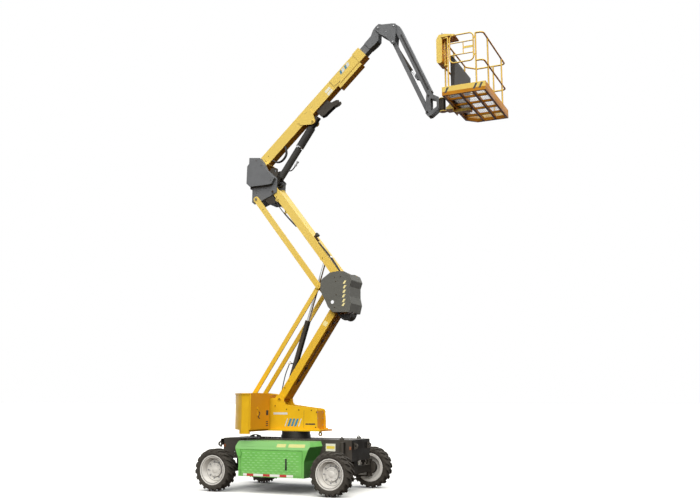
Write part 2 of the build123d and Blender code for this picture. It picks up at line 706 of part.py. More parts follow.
with BuildPart() as mid_cover:
    # moulded cover: two bulges at the front, open towards the arms
    cover = [(mid[0] - 270, mid[1] - 505), (mid[0] + 96, mid[1] - 518), (mid[0] + 140, mid[1] - 340),
             (mid[0] + 106, mid[1] - 190), (mid[0] + 106, mid[1] + 10), (mid[0] + 150, mid[1] + 140),
             (mid[0] + 96, mid[1] + 268), (mid[0] - 20, mid[1] + 330), (mid[0] - 158, mid[1] + 343),
             (mid[0] - 341, mid[1] + 324), (mid[0] - 526, mid[1] + 198), (mid[0] - 560, mid[1] + 137),
             (mid[0] - 559, mid[1] - 52), (mid[0] - 454, mid[1] - 246), (mid[0] - 384, mid[1] - 395)]
    plate(side, cover, -cover_out, cover_out)
    slab(side, mid[0] - 700, mid[0] + 95.3, mid[1] - 600, mid[1] + 400, -cover_out + cover_wall, cover_out - cover_wall,
         Mode.SUBTRACT)
    round_y((mid[0] - 285, mid[1] - 296), 38, -cover_out - 1, cover_out + 1, Mode.SUBTRACT)
    # rounded edges down the moulded front
    front = mid_cover.edges().filter_by(GeomType.LINE).group_by(Axis.X)[-1]
    fillet(front, 22)
save(mid_cover, "mid_cover")

# ================================================================ upper stage
riser_2_plane = arm_plane(riser_2_low, riser_2_angle)
# the upper side of riser 2 is on the far side of its pins' line, so heights run the other way
with BuildPart() as riser_2:
    half_deep = riser_2_deep / 2
    low, high = -riser_2_offset - half_deep, -riser_2_offset + half_deep
    ends = [(-50, high), (riser_2_long + 50, high), (riser_2_long + 85, high - 45), (riser_2_long + 85, low + 45),
            (riser_2_long + 40, low), (-40, low), (-85, low + 45), (-85, high - 45)]
    pair(riser_2_plane, ends, riser_half - riser_wall, riser_half)
    slab(riser_2_plane, 60, riser_2_long - 60, low, low + riser_wall, -riser_half, riser_half)
    for x in (900, riser_2_long - 420):
        slab(riser_2_plane, x, x + riser_wall, low, high - 20, -riser_half, riser_half)
    for y0, y1 in ((-riser_half + 1, -boss_in), (boss_in, riser_half - 1)):
        round_y(riser_cyl_top, 52, y0, y1)
    round_y(riser_2_low, riser_pin + 16, -riser_half, riser_half)
    round_y(riser_2_top, riser_pin + 16, -riser_half, riser_half)
    round_y(riser_2_low, riser_pin + bore_gap, -riser_half - 1, riser_half + 1, Mode.SUBTRACT)
    round_y(riser_2_top, riser_pin + bore_gap, -riser_half - 1, riser_half + 1, Mode.SUBTRACT)
save(riser_2, "riser_2")

upper_link_plane = arm_plane(link_top, riser_2_angle)
with BuildPart() as upper_link:
    eye_plate(upper_link_plane, riser_2_long, upper_link_deep, -upper_link_out, -upper_link_in)
    for point in (link_top, upper_link_top):
        round_y(point, link_pin + bore_gap, -upper_link_out - 1, -upper_link_in + 1, Mode.SUBTRACT)
save(upper_link, "upper_link")

up = riser_2_top
with BuildPart() as upper_knuckle:
    cheek = [(up[0] - 525, up[1] + 80), (up[0] - 526, up[1] - 193), (up[0] - 460, up[1] - 245),
             (up[0] - 271, up[1] - 173), (up[0] - 80, up[1] - 95), (up[0] + 90, up[1] - 20),
             (up[0] + 100, up[1] + 290), (up[0] - 130, up[1] + 500), (up[0] - 230, up[1] + 690),
             (up[0] - 300, up[1] + 780), (up[0] - 560, up[1] + 790), (up[0] - 600, up[1] + 200)]
    pair(side, cheek, cheek_in, cheek_out)
    slab(side, up[0] - 590, up[0] - 572, up[1] + 120, up[1] + 600, -cheek_in - 1, cheek_in + 1)
    round_y(up, riser_pin, -cheek_out - 14, cheek_out + 14)
    round_y(boom_pin, riser_pin, -cheek_out, cheek_out)
    for y0, y1 in ((-cheek_in - 1, -boss_in), (boss_in, cheek_in + 1)):
        round_y(boom_cyl_low, 52, y0, y1)
    round_y(upper_link_top, link_pin, -upper_link_out - 12, -cheek_in)
save(upper_knuckle, "upper_knuckle")

with BuildPart() as upper_cover:
    cover = [(up[0] - 547, up[1] + 152), (up[0] - 632, up[1] + 230), (up[0] - 623, up[1] + 621),
             (up[0] - 573, up[1] + 684), (up[0] - 571, up[1] + 816), (up[0] - 305, up[1] + 784),
             (up[0] - 226, up[1] + 666), (up[0] - 133, up[1] + 506), (up[0] - 30, up[1] + 380),
             (up[0] + 73, up[1] + 289), (up[0], up[1] + 161), (up[0] - 202, up[1] + 149)]
    pair(side, cover, cheek_out, cover_out)
save(upper_cover, "upper_cover")

with BuildPart() as upper_hose_guide:
    # moulded block under the pin, where the hoses cross from riser 2
    guide = [(up[0] - 150, up[1] - 60), (up[0] - 20, up[1] - 62), (up[0] + 2, up[1] - 110), (up[0] + 76, up[1] - 236),
             (up[0] + 30, up[1] - 262), (up[0] - 120, up[1] - 262), (up[0] - 240, up[1] - 130)]
    plate(side, guide, -cheek_in + 0.3, cheek_in - 0.3)
    # guard plates in front of the boom's lift cylinder, held off the cheeks by round spacers
    guard = [(up[0] - 110, up[1] + 330), (up[0] + 60, up[1] + 330), (up[0] + 96, up[1] + 400),
             (up[0] + 90, up[1] + 520), (up[0] + 20, up[1] + 556), (up[0] - 60, up[1] + 556), (up[0] - 130, up[1] + 480)]
    pair(side, guard, 150, 162)
    round_y((up[0] + 19, up[1] + 470), 28, -163, 163, Mode.SUBTRACT)
    for y0, y1 in ((-cheek_in + 0.3, -161), (161, cheek_in - 0.3)):
        round_y((up[0] - 70, up[1] + 400), 24, y0, y1)
save(upper_hose_guide, "upper_hose_guide")

# ================================================================ riser cylinder
riser_cyl_plane = arm_plane(riser_cyl_low, riser_cyl_angle)
riser_cyl_long = reach(riser_cyl_low, riser_cyl_top)
with BuildPart() as riser_barrel:
    round_along(riser_cyl_plane, 40, riser_cyl_barrel, riser_barrel_radius)
    round_y(riser_cyl_low, 62, -60, 60)
    round_along(riser_cyl_plane, 80, riser_cyl_barrel + 1, riser_rod_radius + bore_gap, Mode.SUBTRACT)
    round_y(riser_cyl_low, riser_pin - 4 + bore_gap, -70, 70, Mode.SUBTRACT)
save(riser_barrel, "riser_cylinder_barrel")

with BuildPart() as riser_rod:
    round_along(riser_cyl_plane, riser_cyl_barrel - riser_rod_inside, riser_cyl_long, riser_rod_radius)
    round_y(riser_cyl_top, 52, -50, 50)
    round_y(riser_cyl_top, riser_pin - 4, -eye_pin, eye_pin)
save(riser_rod, "riser_cylinder_rod")

# ================================================================ boom and fly
boom_plane = arm_plane(boom_pin, boom_angle)
with BuildPart() as boom:
    low, high = boom_rise - boom_deep / 2, boom_rise + boom_deep / 2
    slab(boom_plane, -boom_tail, boom_long, low, high, -boom_half, boom_half)
    slab(boom_plane, 140, boom_long + 1, low + boom_wall, high - boom_wall, -boom_half + boom_wall,
         boom_half - boom_wall, Mode.SUBTRACT)
    # collar at the mouth
    slab(boom_plane, boom_long - 200, boom_long, low - 12, high + 12, -boom_half - 12, boom_half + 12)
    slab(boom_plane, boom_long - 201, boom_long + 1, low + boom_wall, high - boom_wall,
         -boom_half + boom_wall, boom_half - boom_wall, Mode.SUBTRACT)
    # hinge block at the tail, and the lugs of the lift cylinder
    slab(boom_plane, -boom_tail, 120, low - 30, low + 60, -cheek_in + side_gap, cheek_in - side_gap)
    eye = trunnion
    lug = [(eye[0] - 260, low + 150), (eye[0] - 250, low + 40), (eye[0] - 60, eye[1] - 30), (eye[0] - 20, eye[1] - 52),
           (eye[0] + 25, eye[1] - 52), (eye[0] + 60, eye[1] - 20), (eye[0] + 140, low + 60), (eye[0] + 150, low + 150)]
    pair(boom_plane, lug, boom_half - 1, boom_half + 10)
    inside = [(eye[0] - 200, low + 7), *lug[2:6], (eye[0] + 110, low + 7)]
    pair(boom_plane, inside, boom_half - 14, boom_half)
    # tray for the hoses below the outer part, and the doubler plate on its sides
    tray_from = boom_long - 200 - tray_long
    slab(boom_plane, tray_from, boom_long - 199, low - tray_deep, low + 1, -boom_half + 8, boom_half - 8)
    slab(boom_plane, tray_from - 1, boom_long - 198, low - tray_deep + 6, low - 0.5, -boom_half + 14, boom_half - 14,
         Mode.SUBTRACT)
    step = [(tray_from - 75, low + 40), (tray_from + 80, low + 40), (tray_from + 100, low + 6), (boom_long - 199, low + 6),
            (boom_long - 199, high - 6), (tray_from - 75, high - 6)]
    pair(boom_plane, step, boom_half - 1, boom_half + 6)
    for y0, y1 in ((-boom_half - 24, -boom_barrel_radius - 3.3), (boom_barrel_radius + 3.3, boom_half + 24)):
        round_y(boom_cyl_top, riser_pin - 4, y0, y1)
    # wear pads in the mouth
    for h0, h1 in ((boom_rise - fly_deep / 2 - slide_gap - 24, boom_rise - fly_deep / 2 - slide_gap),
                   (boom_rise + fly_deep / 2 + slide_gap, boom_rise + fly_deep / 2 + slide_gap + 24)):
        slab(boom_plane, boom_long - 150, boom_long - 20, h0, h1, -60, 60)
    for y0, y1 in ((-boom_half + 2, -fly_half - slide_gap), (fly_half + slide_gap, boom_half - 2)):
        slab(boom_plane, boom_long - 150, boom_long - 20, boom_rise - 60, boom_rise + 60, y0, y1)
    round_y(boom_pin, riser_pin + bore_gap, -cheek_in, cheek_in, Mode.SUBTRACT)
save(boom, "boom")

with BuildPart() as boom_hose_guide:
    # hose loop's guide plates under the boom, joined along the foot
    under = boom_rise - boom_deep / 2
    guide = [(trunnion[0] + 205, under - 0.3), (trunnion[0] + 205, under - 178), (trunnion[0] + 270, under - 213),
             (trunnion[0] + 560, under - 240), (trunnion[0] + 645, under - 278), (trunnion[0] + 710, under - 276),
             (trunnion[0] + 734, under - 228), (trunnion[0] + 690, under - 178), (trunnion[0] + 585, under - 130),
             (trunnion[0] + 545, under - 0.3)]
    pair(boom_plane, guide, 52, 62)
    slab(boom_plane, trunnion[0] + 280, trunnion[0] + 550, under - 225, under - 213, -53, 53)
    slab(boom_plane, trunnion[0] + 300, trunnion[0] + 540, under - 12, under - 0.3, -53, 53)
save(boom_hose_guide, "boom_hose_guide")

with BuildPart() as fly:
    mid_h = boom_rise
    slab(boom_plane, fly_back, fly_out, mid_h - fly_deep / 2, mid_h + fly_deep / 2, -fly_half, fly_half)
    slab(boom_plane, fly_back - 1, fly_out - 60, mid_h - fly_deep / 2 + fly_wall, mid_h + fly_deep / 2 - fly_wall,
         -fly_half + fly_wall, fly_half - fly_wall, Mode.SUBTRACT)
    # cranked head plates up to the levelling pivot
    head = [(150, mid_h - 95), (310, mid_h - 120), (410, mid_h - 110), (530, mid_h + 10),
            (head_past + 81, head_up - 38), (head_past + 96, head_up + 27), (head_past + 61, head_up + 74),
            (head_past - 9, head_up + 82), (head_past - 109, head_up + 74), (370, mid_h + 100), (150, mid_h + 95)]
    pair(boom_plane, [(boom_long + x, h) for x, h in head], fly_half, head_half)
    round_y(head_pin, 52, -head_half, head_half)
    round_y(head_pin, 30 + bore_gap, -head_half - 1, head_half + 1, Mode.SUBTRACT)
save(fly, "fly")

boom_cyl_plane = arm_plane(boom_cyl_low, boom_cyl_angle)
boom_cyl_long = reach(boom_cyl_low, boom_cyl_top)
gland = boom_cyl_long - boom_cyl_barrel
with BuildPart() as boom_barrel:
    round_along(boom_cyl_plane, gland, boom_cyl_long + boom_cyl_behind, boom_barrel_radius)
    round_along(boom_cyl_plane, gland - 1, boom_cyl_long + 20, boom_rod_radius + bore_gap, Mode.SUBTRACT)
    for y0, y1 in ((-boom_barrel_radius - 3, -boom_rod_radius - 6), (boom_rod_radius + 6, boom_barrel_radius + 3)):
        round_y(boom_cyl_top, 46, y0, y1)
save(boom_barrel, "boom_cylinder_barrel")

with BuildPart() as boom_rod:
    round_along(boom_cyl_plane, 0, gland + boom_rod_inside, boom_rod_radius)
    round_y(boom_cyl_low, 56, -55, 55)
    round_y(boom_cyl_low, riser_pin - 4, -eye_pin, eye_pin)
save(boom_rod, "boom_cylinder_rod")

# ================================================================ jib
with BuildPart() as jib_base:
    h, j, k = head_pin, jib_pin, jib_link_pin
    gusset = [(h[0] - 60, h[1] + 45), (h[0] + 60, h[1] + 62), (j[0] - 40, j[1] + 62), (j[0] + 40, j[1] + 45),
              (j[0] + 45, j[1] - 120), (k[0] + 50, k[1] + 40), (k[0] + 45, k[1] - 40), (k[0] - 30, k[1] - 48),
              (h[0] + 200, h[1] - 270), (h[0] + 40, h[1] - 150), (h[0] - 60, h[1] - 50)]
    pair(side, gusset, head_half + side_gap, head_half + side_gap + jib_cheek_thick)
    round_y(h, 30, -head_half - side_gap - jib_cheek_thick - 10, head_half + side_gap + jib_cheek_thick + 10)
    for point in (j, k):
        round_y(point, jib_pin_radius, -head_half - side_gap - jib_cheek_thick - 8, head_half + side_gap + jib_cheek_thick + 8)
save(jib_base, "jib_base")

jib_plane = arm_plane(jib_pin, jib_angle)
with BuildPart() as jib_tube:
    low, high = jib_offset - jib_deep / 2, jib_offset + jib_deep / 2
    slab(jib_plane, 170, jib_long - 60, low, high, -jib_half, jib_half)
    slab(jib_plane, 200, jib_long - 90, low + 6, high - 6, -jib_half + 6, jib_half - 6, Mode.SUBTRACT)
    gooseneck = [(-50, -30), (-20, -52), (40, -50), (190, low), (190, high), (60, high - 5), (-30, 50)]
    plate(jib_plane, gooseneck, -jib_half, jib_half)
    foot = [(jib_long - 80, low), (jib_long + 30, -45), (jib_long + 50, 0), (jib_long + 30, 45), (jib_long - 80, high)]
    plate(jib_plane, foot, -jib_half, jib_half)
    eye_x, eye_h = jib_cyl_eye
    lug = [(eye_x - 85, low + 1), (eye_x - 30, eye_h - jib_eye_radius),
           (eye_x + 30, eye_h - jib_eye_radius), (eye_x + 85, low + 1)]
    pair(jib_plane, lug, jib_eye_half + 8, jib_eye_half + 18)
    for point in (jib_pin, jib_end):
        round_y(point, jib_pin_radius + bore_gap, -jib_half - 1, jib_half + 1, Mode.SUBTRACT)
save(jib_tube, "jib_tube")

jib_link_plane = arm_plane(jib_link_pin, jib_angle)
with BuildPart() as jib_link:
    for y0, y1 in ((-jib_link_half, -jib_link_half + 8), (jib_link_half - 8, jib_link_half)):
        eye_plate(jib_link_plane, jib_long, jib_link_deep, y0, y1)
    slab(jib_link_plane, 60, jib_long - 60, -jib_link_deep / 2, -jib_link_deep / 2 + 8, -jib_link_half, jib_link_half)
    for point in (jib_link_pin, jib_link_end):
        round_y(point, jib_pin_radius + bore_gap, -jib_link_half - 1, jib_link_half + 1, Mode.SUBTRACT)
save(jib_link, "jib_link")

jib_cyl_plane = arm_plane(jib_link_pin, jib_cyl_angle)
jib_cyl_long = reach(jib_link_pin, jib_cyl_end)
with BuildPart() as jib_barrel:
    round_along(jib_cyl_plane, 30, jib_cyl_barrel, jib_barrel_radius)
    round_y(jib_link_pin, 40, -jib_eye_half, jib_eye_half)
    round_along(jib_cyl_plane, 60, jib_cyl_barrel + 1, jib_rod_radius + bore_gap, Mode.SUBTRACT)
    round_y(jib_link_pin, jib_pin_radius + bore_gap, -jib_eye_half - 1, jib_eye_half + 1, Mode.SUBTRACT)
save(jib_barrel, "jib_cylinder_barrel")

with BuildPart() as jib_rod:
    round_along(jib_cyl_plane, 92, jib_cyl_long, jib_rod_radius)
    round_y(jib_cyl_end, jib_eye_radius, -jib_eye_half, jib_eye_half)
    round_y(jib_cyl_end, 12, -jib_eye_half - 5, jib_eye_half + 5)
save(jib_rod, "jib_cylinder_rod")

e, k = jib_end, jib_link_end
with BuildPart() as jib_bracket:
    frame_outline = [(e[0] - 40, e[1] + 40), (e[0] + 30, e[1] + 45), (rotator_x - 60, e[1] - 70),
                     (rotator_x - 60, k[1] + 40), (k[0] + 70, k[1] - 90), (k[0] + 10, k[1] - 100),
                     (k[0] - 45, k[1] - 30), (e[0] - 50, e[1] - 20)]
    window = [(e[0] + 45, e[1] - 70), (rotator_x - 110, e[1] - 120), (rotator_x - 110, k[1] + 90), (k[0] + 70, k[1] + 10)]
    pair(side, frame_outline, jib_cheek_in, jib_cheek_out)
    pair(side, window, jib_cheek_in - 1, jib_cheek_out + 1, Mode.SUBTRACT)
    slab(side, rotator_x - 76, rotator_x - 60, rotator_z - 90, rotator_z + 120, -jib_cheek_in - 1, jib_cheek_in + 1)
    for point in (e, k):
        round_y(point, jib_pin_radius, -jib_cheek_out - 8, jib_cheek_out + 8)
save(jib_bracket, "jib_bracket")

with BuildPart() as rotator:
    with Locations((rotator_x, 0, rotator_z)):
        Cylinder(rotator_radius - 12, 2 * rotator_half)
    with Locations((rotator_x - 40.5, 0, rotator_z)):
        Box(39, 120, 200)
save(rotator, "rotator")

# ================================================================ platform
with BuildPart() as platform_mount:
    # yoke above and below the rotator, narrow enough beside it to swing past the jib's bracket
    for sign in (-1, 1):
        with BuildSketch(Plane.XY.offset(rotator_z + sign * (rotator_half + 8.3) - 8)):
            with BuildLine():
                Polyline((rotator_x, -yoke_narrow), (rotator_x + yoke_start - 15, -yoke_narrow),
                         (rotator_x + yoke_start, -yoke_wide), (platform_back, -yoke_wide), (platform_back, yoke_wide),
                         (rotator_x + yoke_start, yoke_wide), (rotator_x + yoke_start - 15, yoke_narrow),
                         (rotator_x, yoke_narrow), close=True)
            make_face()
            with Locations((rotator_x, 0)):
                Circle(75)
        extrude(amount=16)
    # side plates with the round opening, and the upright that carries the floor
    cheek_half = rotator_half + 16
    for y0, y1 in ((-yoke_wide, -yoke_wide + 12), (yoke_wide - 12, yoke_wide)):
        slab(side, rotator_x + yoke_start, platform_back, rotator_z - cheek_half, rotator_z + cheek_half, y0, y1)
    round_y((rotator_x + yoke_start - 20, rotator_z), mount_hole, -yoke_wide - 1, yoke_wide + 1, Mode.SUBTRACT)
    with Locations((platform_back - 8, 0, rotator_z - 5)):
        Box(16, 300, 2 * rotator_half + 50)
    # beam under the floor
    with Locations(((platform_back + mount_beam) / 2 - 8, 0, platform_low - 30.3)):
        Box(mount_beam - platform_back + 16, 140, 60)
    with Locations((platform_back - 8, 0, platform_low - 30)):
        Box(16, 300, 64)
save(platform_mount, "platform_mount")

mid_x = (platform_back + platform_front) / 2


def floor_plan(inset):
    # the floor's outline, drawn in by an inset, with its cut corner
    x0, x1, y1 = platform_back + inset, platform_front - inset, platform_half - inset
    cut = floor_cut - inset * (2 - sqrt(2))
    return [(x0, -y1), (x1, -y1), (x1, y1), (x0 + cut, y1), (x0, y1 - cut)]


def floor_ring(outer, inner, z0, z1):
    with BuildSketch(Plane.XY.offset(z0)) as ring:
        for inset, mode in ((outer, Mode.ADD), (inner, Mode.SUBTRACT)):
            with BuildLine() as edge:
                Polyline(*floor_plan(inset), close=True)
            make_face(edge.edges(), mode=mode)
    extrude(ring.sketch, amount=z1 - z0)


with BuildPart() as platform_floor:
    floor_ring(0, 45, platform_low, floor_z)
    # two long beams and the cross members under the mesh
    for x in beam_xs:
        with Locations((x, 0, floor_z - 36)):
            Box(46, 2 * platform_half - 88, 62)
    for y in (-540, -180, 180, 540):
        with Locations((mid_x, y, floor_z - 26)):
            Box(platform_front - platform_back - 88, 34, 42)
save(platform_floor, "platform_floor")

with BuildPart() as toe_boards:
    # one board along each edge of the floor
    outer, inner = floor_plan(0), floor_plan(toe_thick)
    for i in range(len(outer)):
        start, end = Vector(*outer[i - 1]), Vector(*outer[i])
        step = (end - start).normalized() * 0.15
        with BuildSketch(Plane.XY.offset(floor_z + 0.3)) as flat:
            with BuildLine():
                Polyline(start + step, end - step, Vector(*inner[i]) - step, Vector(*inner[i - 1]) + step, close=True)
            make_face()
        extrude(flat.sketch, amount=platform_low + toe_high - floor_z - 0.3)
save(toe_boards, "toe_boards")

with BuildPart() as floor_mesh:
    with BuildSketch(Plane.XY.offset(floor_z - 4.7)):
        with BuildLine():
            Polyline(*floor_plan(45.3), close=True)
        make_face()
    extrude(amount=4)
save(floor_mesh, "floor_mesh")

with BuildPart() as platform_rails:
    x0, x1 = platform_back + 30, platform_front - 30
    y0, y1 = -platform_half + 30, platform_half - 30
    cut = floor_cut - 30 * (2 - sqrt(2))
    gate_x0, gate_x1 = gate_post[0] - gate_wide, gate_post[0]
    for z in (rail_z - rail_radius, rail_z - mid_rail_drop):
        with BuildLine() as rail:
            FilletPolyline((gate_x1, y0, z), (x1, y0, z), (x1, y1, z), (x0 + cut, y1, z), (x0, y1 - cut, z),
                           (x0, y0, z), (gate_x0, y0, z), radius=rail_bend)
        with BuildSketch(Plane(origin=rail.wire() @ 0, z_dir=rail.wire() % 0)) as cross:
            Circle(rail_radius)
        sweep(cross.sketch, path=rail.wire())
    posts = [(gate_x0, y0), (gate_x1, y0), (x1, y0 + 330), (x1, y1 - 330), (mid_x + 150, y1),
             (x0, y0 + 130), (x0, -150), (x0, y1 - cut - 60)]
    for x, y in posts:
        with Locations((x, y, (floor_z + rail_z - rail_radius) / 2)):
            Cylinder(rail_radius - 0.5, rail_z - rail_radius - floor_z)
save(platform_rails, "platform_rails")

with BuildPart() as console:
    # rounded box outside the rail, and the control panel over it
    lid_z = rail_z + gate_over + 5
    with BuildSketch(side.offset(console_y + console_wide / 2)) as flat:
        with Locations((platform_back - 56, (rail_z - 500 + lid_z) / 2)):
            RectangleRounded(118, lid_z - rail_z + 499.4, 42)
    extrude(flat.sketch, amount=-console_wide)
    panel = [(platform_back - 100, lid_z), (platform_back + 40, lid_z), (platform_back + 250, lid_z + 4),
             (platform_back + 262, lid_z + 20), (platform_back + 60, lid_z + 62), (platform_back - 60, lid_z + 62)]
    plate(side, panel, -console_y - console_wide / 2, -console_y + console_wide / 2)
    # clamp on the post beside it
    with Locations((platform_back + 7.6, -platform_half + 160, rail_z - 250)):
        Box(11.2, 40, 90)
save(console, "console")

with BuildPart() as platform_apron:
    # tall cover inside the back rails, thinner above
    inner = platform_back + 30 + rail_radius + 0.3
    shape = [(inner, floor_z + 0.3), (inner + 60, floor_z + 0.3), (inner + apron_deep, apron_z - 60),
             (inner + apron_deep, apron_z), (inner + 40, apron_z + 85), (inner, apron_z + 85)]
    plate(side, shape, -460, platform_half - floor_cut - 45)
save(platform_apron, "platform_apron")

with BuildPart() as platform_gate:
    gate_top = rail_z - rail_radius + gate_over
    gate_low = gate_top - gate_high
    x0, x1 = gate_post[0] - gate_wide + 38, gate_post[0] - 44
    tube = rail_radius - 3
    with BuildLine() as loop:
        FilletPolyline((x1, gate_post[1], gate_low), (x1, gate_post[1], gate_top),
                       (x0, gate_post[1], gate_top), (x0, gate_post[1], gate_low),
                       radius=rail_bend, close=True)
    with BuildSketch(Plane(origin=loop.wire() @ 0, z_dir=loop.wire() % 0)) as cross:
        Circle(tube)
    sweep(cross.sketch, path=loop.wire())
    # two bars and the latch plate
    for z in (gate_top - 165, gate_low + 160):
        with Locations(((x0 + x1) / 2, gate_post[1], z)):
            Cylinder(tube - 3, x1 - x0, rotation=(0, 90, 0))
    with Locations((x1 - 105, gate_post[1], gate_top - 285)):
        Box(210, 8, 44)
    with Locations((x1 - 205, gate_post[1], gate_top - 288)):
        Cylinder(tube - 4, 244)
    # hinge lugs reach the post
    for z in (gate_low + 110, gate_top - 110):
        with Locations((gate_post[0] - rail_radius - 14, gate_post[1], z)):
            Box(28, 12, 40)
save(platform_gate, "platform_gate")
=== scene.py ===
import bpy
import bmesh
import json
from math import cos, pi, radians, sin, tau
from mathutils import Matrix, Vector


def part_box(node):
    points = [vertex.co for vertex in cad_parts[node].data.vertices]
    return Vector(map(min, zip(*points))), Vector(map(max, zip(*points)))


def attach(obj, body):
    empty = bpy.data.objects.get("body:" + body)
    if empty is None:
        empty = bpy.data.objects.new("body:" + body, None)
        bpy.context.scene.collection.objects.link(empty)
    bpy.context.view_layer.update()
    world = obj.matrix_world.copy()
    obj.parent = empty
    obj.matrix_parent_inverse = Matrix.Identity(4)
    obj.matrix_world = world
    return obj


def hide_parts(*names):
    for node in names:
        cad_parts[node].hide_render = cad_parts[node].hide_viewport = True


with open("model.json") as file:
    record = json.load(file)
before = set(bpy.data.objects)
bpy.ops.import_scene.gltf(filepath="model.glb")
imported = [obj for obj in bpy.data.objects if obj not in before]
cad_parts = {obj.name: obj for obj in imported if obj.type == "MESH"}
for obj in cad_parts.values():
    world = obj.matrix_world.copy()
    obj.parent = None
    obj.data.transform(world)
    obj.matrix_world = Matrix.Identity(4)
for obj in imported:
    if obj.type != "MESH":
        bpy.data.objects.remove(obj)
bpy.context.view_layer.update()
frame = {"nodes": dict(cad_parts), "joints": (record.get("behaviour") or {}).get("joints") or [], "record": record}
nodes = frame["nodes"]
joints = {j["name"]: j for j in frame["joints"]}


# colours and materials

def linearColour(code):
    # sRGB hex to the linear values that the shaders read
    channels = [int(code[i:i + 2], 16) / 255 for i in (1, 3, 5)]
    return tuple(c / 12.92 if c <= 0.04045 else ((c + 0.055) / 1.055) ** 2.4 for c in channels) + (1.0,)


def addNode(tree, kind, values=None, links=None, **settings):
    # one node with its settings, its socket values, and links given as {input: (node, output)}
    node = tree.nodes.new(kind)
    for key, value in settings.items():
        setattr(node, key, value)
    for key, value in (values or {}).items():
        node.inputs[key].default_value = value
    for key, (source, output) in (links or {}).items():
        tree.links.new(source.outputs[output], node.inputs[key])
    return node


def newMaterial(name):
    material = bpy.data.materials.new(name)
    material.use_nodes = True
    tree = material.node_tree
    tree.nodes.clear()
    return material, tree, addNode(tree, "ShaderNodeTexCoord")


def axes(tree, place, output="Object"):
    return addNode(tree, "ShaderNodeSeparateXYZ", {}, {"Vector": (place, output)})


def ramp(tree, source, output, start, end, low=0.0, high=1.0):
    # start..end of an output mapped to low..high
    return addNode(tree, "ShaderNodeMapRange", {"From Min": start, "From Max": end, "To Min": low, "To Max": high},
                   {"Value": (source, output)})


def maths(tree, operation, *terms):
    # one math node, each term a number or a (node, output) pair
    values = {i: term for i, term in enumerate(terms) if not isinstance(term, tuple)}
    links = {i: term for i, term in enumerate(terms) if isinstance(term, tuple)}
    return addNode(tree, "ShaderNodeMath", values, links, operation=operation)


def noise(tree, place, scale, detail, roughness=0.5, output="Object"):
    return addNode(tree, "ShaderNodeTexNoise", {"Scale": scale, "Detail": detail, "Roughness": roughness},
                   {"Vector": (place, output)})


def cells(tree, place, scale):
    return addNode(tree, "ShaderNodeTexVoronoi", {"Scale": scale}, {"Vector": (place, "Object")})


def relief(tree, source, output, strength, distance):
    return addNode(tree, "ShaderNodeBump", {"Strength": strength, "Distance": distance},
                   {"Height": (source, output)})


def twoShades(tree, light, dark, source, output):
    # from the light to the dark shade as an output rises
    return addNode(tree, "ShaderNodeMix", {"A": linearColour(light), "B": linearColour(dark)},
                   {"Factor": (source, output)}, data_type="RGBA")


def overlaid(tree, shade, code, source, output="Result"):
    # a further colour that takes over as an output rises
    return addNode(tree, "ShaderNodeMix", {"B": linearColour(code)},
                   {"Factor": (source, output), "A": (shade, "Result")}, data_type="RGBA")


def surface(material, values, links):
    # the shader and output that close a material
    tree = material.node_tree
    shader = addNode(tree, "ShaderNodeBsdfPrincipled", values, links)
    addNode(tree, "ShaderNodeOutputMaterial", {}, {"Surface": (shader, 0)})
    return material


def heightTint(tree, place, shade, pale):
    # a second shade that takes over with height: (colour, from, to) in metres
    return overlaid(tree, shade, pale[0], ramp(tree, axes(tree, place), "Z", pale[1], pale[2]))


def paintedShadeOnTop(tree, place, shade, top):
    # painted shade: faces that look up and sideways are given a darker colour, standing in for shade
    return overlaid(tree, shade, top, ramp(tree, axes(tree, place, "Normal"), "Z", 0.35, 0.6))


def paintedShadeForwardUnder(tree, place, shade, deep):
    # painted shade: upright faces that look forward, and faces that look down, get deeper shades in place of the
    # shade that falls on them: (forward, under)
    spread = axes(tree, place, "Normal")
    forward = ramp(tree, spread, "X", 0.35, 0.9)
    level = ramp(tree, spread, "Z", 0.3, 0.1)
    ahead = maths(tree, "MULTIPLY", (forward, "Result"), (level, "Result"))
    under = ramp(tree, spread, "Z", -0.15, -0.6)
    return overlaid(tree, overlaid(tree, shade, deep[0], ahead, 0), deep[1], under)


def dusted(tree, place, shade, dusty):
    # road dust that settles low on the machine: (colour, full, none, amount), heights in metres
    low = ramp(tree, axes(tree, place), "Z", dusty[1], dusty[2], dusty[3], 0.0)
    speck = noise(tree, place, 28.0, 6.0, 0.7)
    return overlaid(tree, shade, dusty[0], maths(tree, "MULTIPLY", (low, "Result"), (speck, "Fac")), 0)


def enamel(name, light, dark, patchMm=260.0, peelMm=18.0, peel=0.02, roughness=0.42, dusty=None, pale=None,
           deep=None, top=None, shine=0.08):
    # sprayed enamel on steel: slow drift of shade, orange peel, a soft gloss
    material, tree, place = newMaterial(name)
    drift = noise(tree, place, 1000 / patchMm, 3.0)
    shade = twoShades(tree, light, dark, ramp(tree, drift, "Fac", 0.3, 0.75), "Result")
    # pale shifts the colour with height; top and deep paint shade by the way a face looks; dusty lays dust low down
    for layer, given in ((heightTint, pale), (paintedShadeOnTop, top), (paintedShadeForwardUnder, deep), (dusted, dusty)):
        if given:
            shade = layer(tree, place, shade, given)
    gloss = ramp(tree, drift, "Fac", 0.3, 0.7, roughness * 0.85, roughness * 1.2)
    skin = relief(tree, noise(tree, place, 1000 / peelMm, 1.0), "Fac", peel, 0.0004)
    return surface(material, {"Metallic": 0.0, "IOR": 1.5, "Specular IOR Level": shine},
                   {"Base Color": (shade, "Result"), "Roughness": (gloss, "Result"), "Normal": (skin, "Normal")})


